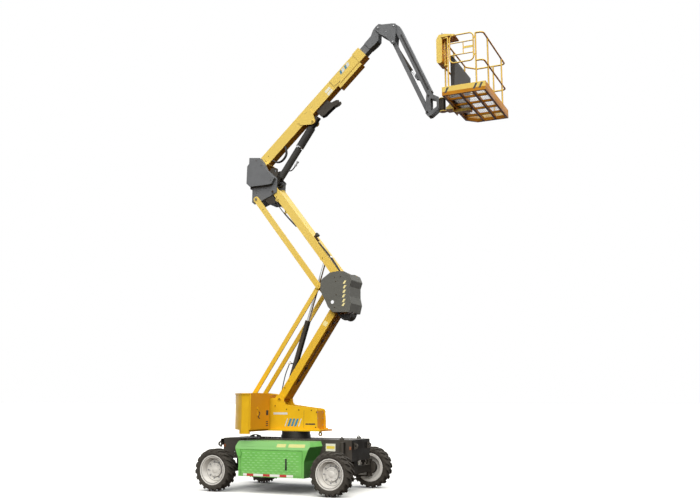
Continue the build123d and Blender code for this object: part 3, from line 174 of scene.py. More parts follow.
def mouldedPlastic(name, light, dark, grainMm=1.6, grain=0.35, roughness=0.62, pale=None, deep=None):
    # textured polyethylene: a leathery grain and a dull sheen
    material, tree, place = newMaterial(name)
    shade = twoShades(tree, light, dark, noise(tree, place, 6.0, 4.0), "Fac")
    # deep paints shade on faces that look forward and on faces that look down
    for layer, given in ((heightTint, pale), (paintedShadeForwardUnder, deep)):
        if given:
            shade = layer(tree, place, shade, given)
    leather = relief(tree, cells(tree, place, 1000 / (grainMm * 3)), "Distance", grain, 0.0006)
    return surface(material, {"Roughness": roughness, "IOR": 1.5},
                   {"Base Color": (shade, "Result"), "Normal": (leather, "Normal")})


def tyreRubber(name, rubber, dust):
    # vulcanised tread rubber: dull, with pale dust caught in the grain
    material, tree, place = newMaterial(name)
    grit = noise(tree, place, 55.0, 8.0, 0.72)
    shade = twoShades(tree, rubber, dust, ramp(tree, grit, "Fac", 0.42, 0.72, 0.0, 0.5), "Result")
    grain = relief(tree, grit, "Fac", 0.35, 0.0015)
    return surface(material, {"Roughness": 0.86, "IOR": 1.52},
                   {"Base Color": (shade, "Result"), "Normal": (grain, "Normal")})


def turnedSteel(name, light, dark, roughness, lineMm=1.2, depth=0.12):
    # bare machined steel or chrome: fine lines across the work, metallic
    material, tree, place = newMaterial(name)
    stretch = addNode(tree, "ShaderNodeMapping", {"Scale": (1.0, 1.0, 12.0)}, {"Vector": (place, "Object")})
    lines = noise(tree, stretch, 1000 / (lineMm * 12), 4.0, output="Vector")
    shade = twoShades(tree, light, dark, lines, "Fac")
    cuts = relief(tree, lines, "Fac", depth, 0.0002)
    return surface(material, {"Metallic": 1.0, "Roughness": roughness},
                   {"Base Color": (shade, "Result"), "Normal": (cuts, "Normal")})


def retroTape(name, colour):
    # prismatic reflective tape: tiny cells under a clear face
    material, tree, place = newMaterial(name)
    prisms = relief(tree, cells(tree, place, 260.0), "Distance", 0.25, 0.0004)
    return surface(material, {"Base Color": linearColour(colour), "Roughness": 0.3, "Coat Weight": 0.6,
                              "Coat Roughness": 0.05}, {"Normal": (prisms, "Normal")})


# the deep pairs below are painted shade on faces that look forward and on faces that look down
finishes = {
    "yellow_paint": enamel("yellowEnamel", "#DFB122", "#D6A61D", pale=("#E3C668", 2.0, 5.6),
                           deep=("#D08B18", "#B87B12")),
    # green's top is painted shade on faces that look up
    "green_paint": enamel("greenEnamel", "#7BC165", "#6FB65A", dusty=("#B9B2A2", 0.3, 0.7, 0.12),
                          deep=("#35682C", "#35682C"), top="#76A867"),
    # painted highlight: a lighter green for the raised dashes, standing in for light caught on their relief
    "greenEdge": enamel("paintedHighlightGreenEnamel", "#A3D592", "#93C982"),
    "grey_paint": enamel("greyEnamel", "#717376", "#67696C", roughness=0.45, deep=("#5C5E60", "#55585B")),
    "chassis_paint": enamel("blackEnamel", "#4B4742", "#3C3833", roughness=0.55,
                            dusty=("#8E8577", 0.2, 1.1, 0.12), deep=("#12100E", "#12100E")),
    "dark_plastic": mouldedPlastic("darkPolyethylene", "#585852", "#4E4E48", pale=("#706D67", 4.6, 6.6),
                                   deep=("#53534D", "#34332E")),
    "rim_paint": enamel("offWhiteWheelPaint", "#DAD8D4", "#CFCCC6", dusty=("#A79F90", 0.1, 0.7, 0.2)),
    "tyre_rubber": tyreRubber("treadRubber", "#25211C", "#554D40"),
    "bare_steel": turnedSteel("machinedSteel", "#8C8A86", "#6E6C69", 0.42),
    "rod_chrome": turnedSteel("hardChrome", "#C9CBCC", "#B0B3B5", 0.22, depth=0.03),
    "cast_weight": enamel("castIronPaint", "#3B3936", "#302E2C", peel=0.5, roughness=0.6),
    "battery_case": mouldedPlastic("batteryPolypropylene", "#2A2B2D", "#232426", roughness=0.5),
    "blackRubber": mouldedPlastic("hoseRubber", "#1A1918", "#242220", grainMm=2.5, grain=0.25, roughness=0.7),
    "guardPaint": enamel("guardGreyEnamel", "#4A4A48", "#3E3E3C", roughness=0.4),
    "apronPlastic": mouldedPlastic("apronPolyethylene", "#292622", "#211F1C", roughness=0.6),
    "darkSteel": turnedSteel("greasedSteel", "#3A3835", "#2B2927", 0.5),
    "darkBolt": turnedSteel("oiledSteel", "#4A3524", "#33261B", 0.5),
    # painted shade: a darker, more orange copy of the yellow for the platform floor, which sits in shade
    "paintedShadeYellow": enamel("paintedShadeYellowEnamel", "#BE7F1D", "#AC6E15", deep=("#B07016", "#7A4512")),
    # painted shadow: the grey of the dark rings in the wheel's steps
    "rimShade": enamel("paintedShadowWheelPaint", "#8B8884", "#7D7A76", roughness=0.5),
    "paleYellowTape": retroTape("wornYellowTape", "#EBDD9A"),
    "fadedTape": retroTape("fadedYellowTape", "#A9A850"),
    "hoseSleeve": mouldedPlastic("wovenHoseSleeve", "#5A3617", "#472A12", grainMm=2.5, roughness=0.8),
    "blankLabel": retroTape("blankLabelFilm", "#DEDCCB"),
    "whiteTape": retroTape("whiteReflectiveTape", "#E6E5DF"),
    "redTape": retroTape("redReflectiveTape", "#B82A22"),
    "yellowTape": retroTape("yellowReflectiveTape", "#E2C94E"),
    "blackTape": mouldedPlastic("blackVinyl", "#1B1B1C", "#141415", roughness=0.45),
    "zincBolt": turnedSteel("zincPlatedSteel", "#A8A9AA", "#8A8B8D", 0.38),
    "blueStripe": retroTape("blueVinyl", "#2F7896"),
    "greyStripe": retroTape("paleVinyl", "#C9CFCE"),
    "amberLens": retroTape("amberLens", "#8A4A1C"),
}
slotOf = {part["node"]: part["material_slot"] for part in frame["record"]["subparts"]}
# platform_floor takes the yellow with painted shade
nodeFinish = {"platform_apron": "apronPlastic", "platform_floor": "paintedShadeYellow", "slew_ring": "darkSteel",
              "slew_race": "darkSteel"}
# each node takes the finish of its slot in the record, or the finish listed for it above
for nodeName, nodeObject in nodes.items():
    nodeObject.data.materials.clear()
    nodeObject.data.materials.append(finishes[nodeFinish.get(nodeName, slotOf[nodeName])])
print("materials made")


# mesh helpers
shift = Matrix.Translation


def placed(name, data):
    # a new object in the scene
    obj = bpy.data.objects.new(name, data)
    bpy.context.scene.collection.objects.link(obj)
    return obj


def boxOf(nodeName):
    # corners and middle of a node's box
    low, high = (Vector(v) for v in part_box(nodeName))
    return low, high, (low + high) / 2


def finishPiece(name, mesh, finish, body, smooth=True):
    # a named object at the origin that rides on a body
    obj = placed(name, mesh)
    mesh.materials.clear()
    mesh.materials.append(finishes[finish])
    if smooth:
        mesh.shade_smooth()
        mesh.set_sharp_from_angle(angle=radians(32))
    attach(obj, body)
    return obj


def dress(body, name, finish, meshes, smooth=True):
    finishPiece(name, joined(meshes), finish, body, smooth)


def dressFlat(body, name, finish, meshes):
    # films and tapes keep their flat faces
    dress(body, name, finish, meshes, False)


def meshFrom(verts, faces):
    mesh = bpy.data.meshes.new("shape")
    mesh.from_pydata([tuple(v) for v in verts], [], faces)
    mesh.update()
    return mesh


def workOn(*meshes):
    # one bmesh of several meshes
    work = bmesh.new()
    for mesh in meshes:
        work.from_mesh(mesh)
    return work


def meshOf(work, mesh=None):
    # ends a bmesh, in a mesh that is given or a new one
    if mesh is None:
        mesh = bpy.data.meshes.new("shape")
    work.to_mesh(mesh)
    work.free()
    return mesh


def joined(meshes):
    return meshOf(workOn(*meshes))


def moved(mesh, matrix):
    mesh.transform(matrix)
    return mesh


def outward(mesh):
    work = workOn(mesh)
    bmesh.ops.remove_doubles(work, verts=work.verts, dist=1e-6)
    bmesh.ops.recalc_face_normals(work, faces=work.faces)
    return meshOf(work, mesh)


def lathe(profile, steps=48):
    # closed (radius, out) profile turned about Y
    verts, faces = [], []
    count = len(profile)
    for i in range(steps):
        turn = tau * i / steps
        verts += [(r * sin(turn), w, r * cos(turn)) for r, w in profile]
    for i in range(steps):
        for j in range(count):
            a, b = i * count + j, i * count + (j + 1) % count
            c, d = ((i + 1) % steps) * count + (j + 1) % count, ((i + 1) % steps) * count + j
            faces.append((a, b, c, d))
    return outward(meshFrom(verts, faces))


def bevelled(mesh, width, segments=2):
    work = workOn(mesh)
    edges = [e for e in work.edges if len(e.link_faces) == 2 and e.calc_face_angle(0) > radians(25)]
    bmesh.ops.bevel(work, geom=edges, offset=width, segments=segments, affect="EDGES", profile=0.5)
    return meshOf(work, mesh)


def block(centre, size, edge=0.0):
    # box with rounded edges
    work = bmesh.new()
    bmesh.ops.create_cube(work, size=1.0)
    bmesh.ops.scale(work, vec=Vector(size), verts=work.verts)
    bmesh.ops.translate(work, vec=Vector(centre), verts=work.verts)
    mesh = meshOf(work)
    return bevelled(mesh, edge) if edge else mesh


def sheetPlate(outline, depth, edge=0.0):
    # flat plate from an outline in (x, z), depth along +Y from zero
    count = len(outline)
    verts = [(x, 0, z) for x, z in outline] + [(x, depth, z) for x, z in outline]
    faces = [tuple(range(count)), tuple(range(2 * count - 1, count - 1, -1))]
    faces += [(i, i + count, (i + 1) % count + count, (i + 1) % count) for i in range(count)]
    mesh = outward(meshFrom(verts, faces))
    return bevelled(mesh, edge) if edge else mesh


def hose(points, radius):
    # a bent hose on a smooth curve
    curve = bpy.data.curves.new("hose", "CURVE")
    curve.dimensions = "3D"
    curve.bevel_depth = radius
    curve.bevel_resolution = 2
    curve.resolution_u = 6
    curve.use_fill_caps = True
    line = curve.splines.new("NURBS")
    line.points.add(len(points) - 1)
    for point, place in zip(line.points, points):
        point.co = (*place, 1.0)
    line.order_u = 3
    line.use_endpoint_u = True
    temp = placed("hose", curve)
    mesh = bpy.data.meshes.new_from_object(temp.evaluated_get(bpy.context.evaluated_depsgraph_get()))
    bpy.data.objects.remove(temp)
    return mesh


class Arm:
    # a slanted line between two pins: x along it, h square to it in the vertical plane, y across
    def __init__(self, start, end):
        self.start = Vector(start)
        self.line = (Vector(end) - self.start).normalized()
        self.up = Vector((-self.line.z, 0, self.line.x))
        self.length = (Vector(end) - self.start).length

    def at(self, x, h, y):
        return self.start + self.line * x + self.up * h + Vector((0, y, 0))

    def matrix(self):
        columns = (self.line, Vector((0, 1, 0)), self.up, self.start)
        return Matrix([[column[i] for column in columns] for i in range(3)] + [[0, 0, 0, 1]])


def pin(name):
    return Vector(joints[name]["pos_m"])


riser1 = Arm(pin("riser_lift"), pin("mid_knuckle_level"))
riser2 = Arm(pin("riser_2_lift"), pin("upper_knuckle_level"))
boomLine = Arm(pin("boom_lift"), pin("boom_lift") + Vector(joints["telescope"]["axis"]))
jibTube = Arm(pin("jib_lift"), pin("platform_level"))


# repeats by geometry nodes

def repeatTree(name, inputs):
    # an empty repeat tree with its named inputs: (label, socket kind, first value)
    tree = bpy.data.node_groups.new(name, "GeometryNodeTree")
    sockets = {}
    for label, kind, value in (("Piece", "Object", None), *inputs, ("Finish", "Material", None)):
        item = tree.interface.new_socket(label, in_out="INPUT", socket_type="NodeSocket" + kind)
        if value is not None:
            item.default_value = value
        sockets[label] = item.identifier
    tree.interface.new_socket("Geometry", in_out="OUTPUT", socket_type="NodeSocketGeometry")
    return tree, sockets, addNode(tree, "NodeGroupInput"), addNode(tree, "GeometryNodeInputIndex")


def placeCopies(tree, given, count, across, upward, turns):
    # the piece on each of a count of points, turned, made real and given its finish
    line = addNode(tree, "GeometryNodeMeshLine", {"Offset": (0, 0, 0)}, {"Count": count})
    place = addNode(tree, "ShaderNodeCombineXYZ", {}, {"X": (across, 0), "Z": (upward, 0)})
    spread = addNode(tree, "GeometryNodeSetPosition", {}, {"Geometry": (line, 0), "Position": (place, 0)})
    piece = addNode(tree, "GeometryNodeObjectInfo", {}, {"Object": (given, "Piece")})
    copies = addNode(tree, "GeometryNodeInstanceOnPoints", {},
                     {"Points": (spread, 0), "Instance": (piece, "Geometry"), **turns})
    real = addNode(tree, "GeometryNodeRealizeInstances", {}, {"Geometry": (copies, 0)})
    dressed = addNode(tree, "GeometryNodeSetMaterial", {}, {"Geometry": (real, 0), "Material": (given, "Finish")})
    addNode(tree, "NodeGroupOutput", {}, {"Geometry": (dressed, 0)})


def ringTree():
    # copies of a piece round the Y axis, each turned to face out
    tree, sockets, given, index = repeatTree("RingOfPieces", (
        ("Count", "Int", 9), ("Radius", "Float", 0.1), ("Start", "Float", 0.0)))
    step = maths(tree, "DIVIDE", tau, (given, "Count"))
    turn = maths(tree, "MULTIPLY_ADD", (index, 0), (step, 0), (given, "Start"))
    spin = addNode(tree, "ShaderNodeCombineXYZ", {}, {"Y": (turn, 0)})
    across = maths(tree, "MULTIPLY", (maths(tree, "SINE", (turn, 0)), 0), (given, "Radius"))
    upward = maths(tree, "MULTIPLY", (maths(tree, "COSINE", (turn, 0)), 0), (given, "Radius"))
    placeCopies(tree, given, (given, "Count"), across, upward, {"Rotation": (spin, 0)})
    return tree, sockets


def gridTree():
    # staggered rows of a piece in the XZ plane
    tree, sockets, given, index = repeatTree("StaggeredRows", (
        ("Columns", "Int", 4), ("Rows", "Int", 4), ("ColumnStep", "Float", 0.1), ("RowStep", "Float", 0.1),
        ("Stagger", "Float", 0.0)))
    total = maths(tree, "MULTIPLY", (given, "Columns"), (given, "Rows"))
    row = maths(tree, "FLOOR", (maths(tree, "DIVIDE", (index, 0), (given, "Columns")), 0))
    column = maths(tree, "MODULO", (index, 0), (given, "Columns"))
    nudge = maths(tree, "MULTIPLY", (maths(tree, "MODULO", (row, 0), 2.0), 0), (given, "Stagger"))
    across = maths(tree, "MULTIPLY_ADD", (column, 0), (given, "ColumnStep"), (nudge, 0))
    upward = maths(tree, "MULTIPLY", (row, 0), (given, "RowStep"))
    placeCopies(tree, given, (total, 0), across, upward, {})
    return tree, sockets


rings = ringTree()
rows = gridTree()


def repeated(kit, piece, **given):
    # runs a repeat tree on a piece and returns the plain mesh
    tree, sockets = kit
    source = placed("source", piece)
    host = placed("host", bpy.data.meshes.new("host"))
    modifier = host.modifiers.new("repeat", "NODES")
    modifier.node_group = tree
    modifier[sockets["Piece"]] = source
    for label, value in given.items():
        modifier[sockets[label]] = value
    host.update_tag()
    ready = host.evaluated_get(bpy.context.evaluated_depsgraph_get())
    mesh = bpy.data.meshes.new_from_object(ready)
    bpy.data.objects.remove(host)
    bpy.data.objects.remove(source)
    return mesh


# tyres: carcass and tread bars
tyreSizes = {
    "outerRadius": 0.420, "treadBase": 0.386, "halfWidth": 0.155, "barsEachSide": 19, "barWidth": 0.058,
    "barSweep": 13.0, "barRoot": 0.006, "wallTurn": 0.13, "tuck": 0.016,
    # each bar from the middle out: (out, top drop, root drop, width scale)
    "barStations": ((0.006, 0, 0, 0.62), (0.055, 0, 0, 0.8), (0.105, 0.001, 0, 1.0), (0.138, 0.012, 0.016, 1.12),
                    (0.1535, 0.034, 0.036, 1.2), (0.1545, 0.062, 0.05, 1.2)),
    # side wall from the bead up: (radius, in from the half width)
    "wall": ((0.2615, 0.045), (0.294, 0.024), (0.301, 0.012), (0.312, 0.005), (0.330, 0.001), (0.352, 0.002),
             (0.374, 0.010), (0.378, 0.024), (0.386, 0.045)),
}


def treadBar(side):
    # one slanted bar from near the middle out over the shoulder and down the wall
    s = tyreSizes
    top, low = s["outerRadius"], s["treadBase"] - s["barRoot"]
    stations = [(out, top - drop, low - rootDrop, scale) for out, drop, rootDrop, scale in s["barStations"]]
    verts, faces = [], []
    for out, high, deep, scale in stations:
        middle = radians(s["barSweep"]) * (out / s["halfWidth"]) ** 1.3
        half = s["barWidth"] * scale / 2 / top
        for radius, turn in ((deep, middle - half), (high, middle - half * 0.8), (high, middle + half * 0.8),
                             (deep, middle + half)):
            width = out if radius == high or out < s["wallTurn"] else out - s["tuck"]
            verts.append((radius * sin(side * turn), side * width, radius * cos(side * turn)))
    for i in range(len(stations) - 1):
        for j in range(4):
            a, b = 4 * i + j, 4 * i + (j + 1) % 4
            faces.append((a, b, b + 4, a + 4))
    faces += [(3, 2, 1, 0), (len(verts) - 4, len(verts) - 3, len(verts) - 2, len(verts) - 1)]
    return outward(meshFrom(verts, faces))


def makeTyre(nodeName, body):
    s = tyreSizes
    wall = [(r, s["halfWidth"] - inset) for r, inset in s["wall"]]
    profile = wall + [(r, -w) for r, w in reversed(wall)]
    pieces = [lathe(profile, 72)]
    for side, start in ((1, 0.0), (-1, pi / s["barsEachSide"])):
        pieces.append(repeated(rings, treadBar(side), Count=s["barsEachSide"], Radius=0.0, Start=start,
                               Finish=finishes["tyre_rubber"]))
    mesh = moved(joined(pieces), shift(boxOf(nodeName)[2]))
    obj = finishPiece("tread_" + nodeName, mesh, "tyre_rubber", body)
    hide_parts(nodeName)


# wheel nuts, rim steps with painted shadow rings, and hub cap
hubSizes = {
    "nuts": 9, "nutCircle": 0.168, "nut": (0.0155, 0.02), "nutStart": 0.2, "studs": 8,
    "studCircle": 0.112, "stud": (0.009, 0.006), "studStart": 0.1, "capOut": 0.036,
    "discOut": 0.005, "domeRadius": 0.062, "domeHigh": 0.020, "domeFoot": 0.006,
    # dark rings painted as the shadow in the rim's steps and round the hub cap, and the bead of the rim, as
    # (radius, out) round each section
    "lines": (((0.256, 0.1195), (0.267, 0.1238), (0.267, 0.1318), (0.256, 0.1275)),
              ((0.1375, -0.001), (0.150, -0.001), (0.150, 0.0025), (0.1375, 0.004)),
              ((0.2095, -0.001), (0.218, -0.001), (0.218, 0.003), (0.2095, 0.003))),
    "bead": ((0.2405, 0.108), (0.2505, 0.1165), (0.2505, 0.1275), (0.2450, 0.1285), (0.2405, 0.1235)),
}


def nutMesh(radius, height, faces=6):
    # hexagon nut or bolt head standing along +Y
    work = bmesh.new()
    bmesh.ops.create_cone(work, cap_ends=True, segments=faces, radius1=radius, radius2=radius, depth=height)
    mesh = meshOf(work)
    mesh.transform(shift((0, height / 2, 0)) @ Matrix.Rotation(-pi / 2, 4, "X"))
    return bevelled(mesh, radius * 0.12, 1)


def makeHub(nodeName, body, side):
    s = hubSizes
    centre = boxOf("tyre_" + nodeName[4:])[2]
    flip = Matrix.Rotation(0 if side > 0 else pi, 4, "Z")
    place = shift((centre.x, centre.y + side * s["discOut"], centre.z)) @ flip
    nuts = repeated(rings, nutMesh(*s["nut"]), Count=s["nuts"], Radius=s["nutCircle"],
                    Start=s["nutStart"], Finish=finishes["zincBolt"])
    studs = repeated(rings, nutMesh(*s["stud"]), Count=s["studs"], Radius=s["studCircle"],
                     Start=s["studStart"], Finish=finishes["zincBolt"])
    studs.transform(shift((0, s["capOut"], 0)))
    finishPiece("nuts_" + nodeName, moved(joined([nuts, studs]), place), "zincBolt", body)
    # painted shadow: dark rings in the rim's steps and round the hub cap
    shades = [lathe(section, 64) for section in s["lines"]]
    finishPiece("rim_lines_" + nodeName, moved(joined(shades), place), "rimShade", body)
    r, h, foot, base = s["domeRadius"], s["domeHigh"], s["domeFoot"], s["capOut"] - 0.002
    dome = lathe([(0.0005, base), (r + foot, base), (r + 0.004, base + foot), (r, base + foot),
                  (r * 0.86, base + h * 0.7), (r * 0.6, base + h * 0.92), (0.0005, base + h)], 48)
    finishPiece("hub_dome_" + nodeName, moved(joined([dome, lathe(s["bead"], 64)]), place), "rim_paint", body)


for corner, side in (("front_right", -1), ("front_left", 1), ("rear_right", -1), ("rear_left", 1)):
    makeTyre("tyre_" + corner, "wheel_" + corner)
    makeHub("rim_" + corner, "wheel_" + corner, side)
print("wheels dressed")


# small parts shared by every body

def sideHeads(places, radius, height, faces=6, bothSides=True):
    # bolt heads or pin caps on faces that look sideways: (x, y, z) of each on the right
    pieces = []
    for x, y, z in places:
        for side in ((-1, 1) if bothSides else (-1,)):
            turn = Matrix.Rotation(0 if side > 0 else pi, 4, "Z")
            pieces.append(moved(nutMesh(radius, height, faces), shift((x, side * y, z)) @ turn))
    return joined(pieces)


def armHeads(arm, places, y, radius, height, faces=6):
    # the same, with places along and square to a slanted arm
    return sideHeads([tuple(arm.at(x, h, y)) for x, h in places], radius, height, faces)


def sticker(arm, outline, y, proud=0.0012):
    # thin film on both side faces of an arm, outline in (along, square)
    return joined([moved(sheetPlate(outline, proud), arm.matrix() @ shift((0, start, 0)))
                   for start in (-y - proud, y)])


def oblong(x0, x1, h0, h1, slant=0.0):
    return [(x0, h0), (x1, h0), (x1 + slant, h1), (x0 + slant, h1)]


def films(arm, edges, y, proud=0.0012):
    # one oblong film for each (from, to, low, high)
    return [sticker(arm, oblong(*each), y, proud) for each in edges]


def stripes(arm, starts, wide, rise, y):
    # slanted stripes of one width: rise is (low, high, slant)
    return [sticker(arm, oblong(x, x + wide, *rise), y) for x in starts]


# an arm frame that lies along X, for level faces
level = Arm((0, 0, 0), (1, 0, 0))


def faceBlock(x, y0, y1, z0, z1, proud):
    # a raised block on a face that looks forward
    return block((x + proud / 2, (y0 + y1) / 2, (z0 + z1) / 2), (proud, y1 - y0, z1 - z0), 0.002)


def armBlock(arm, x, up, y, size, edge=0.003):
    # a block set square to an arm
    return moved(block((0, 0, 0), size, edge), arm.matrix() @ shift((x, y, up)))


# battery boxes: raised dashes, tape, grip
boxSizes = {
    "outer": 1.050, "dashLong": 0.060, "dashHigh": 0.011, "dashProud": 0.006, "dashTilt": 4.0, "columns": 11,
    "rows": 9, "columnStep": 0.115, "rowStep": 0.047, "firstDash": (0.07, 0.05), "grip": (0.032, 0.016, 0.215),
    "gripAt": (0.343, 0.009, 0.575),
    "tapeLow": 0.332, "tapeHigh": 0.378, "tapeThick": 0.0012, "tapeAt": -0.06, "tapeLong": 1.12,
    "redLong": 0.15, "redAt": (-0.46, -0.09, 0.28),
}


def dressBatteryBox(side, name):
    s = boxSizes
    doorNode = "battery_door_" + name
    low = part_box(doorNode)[0]
    outer = side * s["outer"]
    dash = block((0, 0, 0), (s["dashLong"], s["dashProud"] * 2, s["dashHigh"]), 0.003)
    dash.transform(Matrix.Rotation(radians(s["dashTilt"]), 4, "Y"))
    # the dashes take the lighter green, a painted highlight
    grid = repeated(rows, dash, Columns=s["columns"], Rows=s["rows"], ColumnStep=s["columnStep"],
                    RowStep=s["rowStep"], Stagger=s["columnStep"] / 2, Finish=finishes["greenEdge"])
    grid.transform(shift((low[0] + s["firstDash"][0], outer, low[2] + s["firstDash"][1])))
    finishPiece("dashes_" + doorNode, grid, "greenEdge", doorNode, smooth=False)
    x, proud, z = s["gripAt"]
    dress(doorNode, "grip_" + doorNode, "blackRubber", [block((x, outer + side * proud, z), s["grip"], 0.006)])
    # reflective tape along the foot of the box, red lengths over the white
    middle, high, thick = (s["tapeLow"] + s["tapeHigh"]) / 2, s["tapeHigh"] - s["tapeLow"], s["tapeThick"]
    white = block((s["tapeAt"], outer + side * thick / 2, middle), (s["tapeLong"], thick, high))
    red = [block((x, outer + side * thick, middle), (s["redLong"], thick * 2, high)) for x in s["redAt"]]
    dressFlat("chassis", "tape_white_" + name, "whiteTape", [white])
    dressFlat("chassis", "tape_red_" + name, "redTape", red)


for name, side in (("right", -1), ("left", 1)):
    dressBatteryBox(side, name)
print("battery boxes dressed")

# chassis: blank labels, reflectors, bolts and deck fittings
chassisSizes = {
    "side": 0.450, "film": 0.0012, "label": (0.91, 1.12, 0.81, 0.955), "mark": (0.925, 1.105, 0.855, 0.91),
    "reflectors": ((1.425, 1.462, 0.845, 0.905), (-1.462, -1.425, 0.845, 0.905)), "lensProud": 0.004,
    "bevelAt": (0.9955, 0.9253), "bevelTilt": radians(53.7), "bevelHigh": 0.075,
    "bevelLabels": ((0.205, 0.20), (0.545, 0.36)),
    "deckTop": 1.030, "deckBolt": (0.013, 0.010), "deckBoltsX": (-1.38, -1.12, 1.12, 1.38),
    "deckBoltsY": (-0.34, 0.34), "sideBolt": (0.012, 0.009), "sideBoltsX": (-1.2, -1.02, 1.02, 1.2),
    "sideBoltsZ": (0.69, 0.75), "valveBlocks": (((-1.215, 0.28, 1.043), (0.09, 0.06, 0.030), 0.006),
                    ((-1.09, 0.33, 1.046), (0.07, 0.07, 0.036), 0.008)),
    "deckHose": ((-1.26, 0.28, 1.045), (-1.20, 0.28, 1.072), (-1.11, 0.32, 1.074), (-1.04, 0.34, 1.040)),
    "deckHoseRadius": 0.012,
}
s = chassisSizes
dressFlat("chassis", "labels_chassis", "blankLabel", films(level, [s["label"]], s["side"]))
dressFlat("chassis", "marks_chassis", "yellowTape", films(level, [s["mark"]], s["side"] + s["film"]))
bevelLabels = []
for x, length in s["bevelLabels"]:
    for side in (-1, 1):
        film = block((0, 0, 0), (length, s["bevelHigh"], s["film"]))
        slope = Matrix.Rotation(side * -s["bevelTilt"], 4, "X")
        bevelLabels.append(moved(film, shift((x, side * s["bevelAt"][0], s["bevelAt"][1])) @ slope))
dressFlat("chassis", "labels_box_tops", "fadedTape", bevelLabels)
dressFlat("chassis", "reflectors_chassis", "amberLens", films(level, s["reflectors"], s["side"], s["lensProud"]))
upward = Matrix.Rotation(pi / 2, 4, "X")
deckBolts = [moved(nutMesh(*s["deckBolt"]), shift((x, y, s["deckTop"])) @ upward)
             for x in s["deckBoltsX"] for y in s["deckBoltsY"]]
sideBolts = armHeads(level, [(x, z) for x in s["sideBoltsX"] for z in s["sideBoltsZ"]], s["side"], *s["sideBolt"])
dress("chassis", "bolts_chassis", "zincBolt", deckBolts + [sideBolts])
dress("chassis", "deck_fittings", "blackRubber",
      [block(*given) for given in s["valveBlocks"]] + [hose(s["deckHose"], s["deckHoseRadius"])])

# turntable: plate bolts, stripes, blank plate and slots
tableSizes = {
    "side": 0.203, "bolt": (0.013, 0.009), "upperBolt": (0.017, 0.012), "upperBoltAt": (-0.289, 0.219, 1.830),
    "eyeBolt": (0.012, 0.010), "eyeBoltAt": (-0.917, 0.248, 1.894),
    "boltsAt": ((0.169, 1.606), (0.458, 1.600), (0.575, 1.565), (0.560, 1.26), (-0.12, 1.62), (-0.39, 1.69),
                (-0.60, 1.70)),
    "stripeRise": (1.275, 1.43, 0.06), "stripesX": (-0.10, -0.02, 0.06), "stripeWide": 0.05,
    "palesX": (-0.165, 0.155), "paleWide": 0.022, "plate": (-0.43, -0.10, 1.512, 1.556),
    "slots": ((0.325, 0.378, 1.309, 1.337), (0.386, 0.546, 1.309, 1.337)), "slotProud": 0.0008,
    "seam": (0.283, 0.288, 1.245, 1.60), "seamProud": 0.0006,
    "frontX": 0.556, "frontBolt": (0.011, 0.008), "frontBoltsY": (-0.12, 0.12), "frontBoltsZ": (1.30, 1.44, 1.56),
}
t = tableSizes
dress("turntable", "bolts_turntable", "darkBolt",
      [armHeads(level, t["boltsAt"], t["side"], *t["bolt"]),
       sideHeads([t["upperBoltAt"]], *t["upperBolt"]), sideHeads([t["eyeBoltAt"]], *t["eyeBolt"])])
dressFlat("turntable", "stripes_turntable", "blueStripe",
          stripes(level, t["stripesX"], t["stripeWide"], t["stripeRise"], t["side"]))
dressFlat("turntable", "labels_turntable", "greyStripe",
          stripes(level, t["palesX"], t["paleWide"], t["stripeRise"], t["side"])
          + films(level, [t["plate"]], t["side"]))
dressFlat("turntable", "slots_turntable", "blackRubber",
          films(level, t["slots"], t["side"], t["slotProud"])
          + films(level, [t["seam"]], t["side"], t["seamProud"]))

# cabinet and pump doors: handle, lock plates and louvres
doorSizes = {
    "handle": ((-0.471, -0.808, 1.616), (-0.464, -0.800, 1.610), (-0.462, -0.745, 1.575), (-0.462, -0.706, 1.551),
               (-0.462, -0.735, 1.505), (-0.462, -0.774, 1.466), (-0.464, -0.715, 1.440), (-0.471, -0.702, 1.436)),
    "handleRadius": 0.008, "face": -0.470, "width": (-0.44, -0.36),
    "plates": ((1.50, 1.60, 0.006), (1.28, 1.30, 0.004), (1.32, 1.34, 0.004), (1.36, 1.38, 0.004)),
    "pumpFace": -0.150, "pumpWidth": (0.52, 0.86), "louvres": (1.36, 1.39, 1.42, 1.45), "louvre": (0.014, 0.004),
}
d = doorSizes
dress("cabinet_door", "handle_cabinet_door", "blackRubber",
      [hose(d["handle"], d["handleRadius"])]
      + [faceBlock(d["face"], *d["width"], *plate) for plate in d["plates"]])
dress("pump_door", "louvres_pump_door", "blackRubber",
      [faceBlock(d["pumpFace"], *d["pumpWidth"], z, z + d["louvre"][0], d["louvre"][1]) for z in d["louvres"]])
dress("turntable", "bolts_front_plate", "zincBolt",
      [moved(nutMesh(*t["frontBolt"]), shift((t["frontX"], y, z)) @ Matrix.Rotation(-pi / 2, 4, "Z"))
       for y in t["frontBoltsY"] for z in t["frontBoltsZ"]])
print("chassis and turntable dressed")

# risers: pin ends, bolt heads and hazard marks
pinSizes = {
    "cap": 0.021, "capHigh": 0.006, "bolt": 0.010, "boltHigh": 0.006,
    # (x, y, z, scale) of each body's pins
    "mid_knuckle": ((0.6169, 0.248, 4.1596, 0.9),), "upper_link": ((-0.9204, 0.269, 6.1702, 0.9),),
    "upper_knuckle": ((-0.5344, 0.216, 6.3202, 1.2), (-0.8224, 0.216, 6.9362, 1.2)),
}


def pinEnds(body, bothSides=True):
    # a round keeper washer with its bolt on the ends of each pin
    p = pinSizes
    pieces = []
    for x, y, z, scale in p[body]:
        pieces.append(sideHeads([(x, y, z)], p["cap"] * scale, p["capHigh"], 20, bothSides))
        pieces.append(sideHeads([(x, y + p["capHigh"], z)], p["bolt"] * scale, p["boltHigh"], 6, bothSides))
    dress(body, "pin_ends_" + body, "darkBolt", pieces)


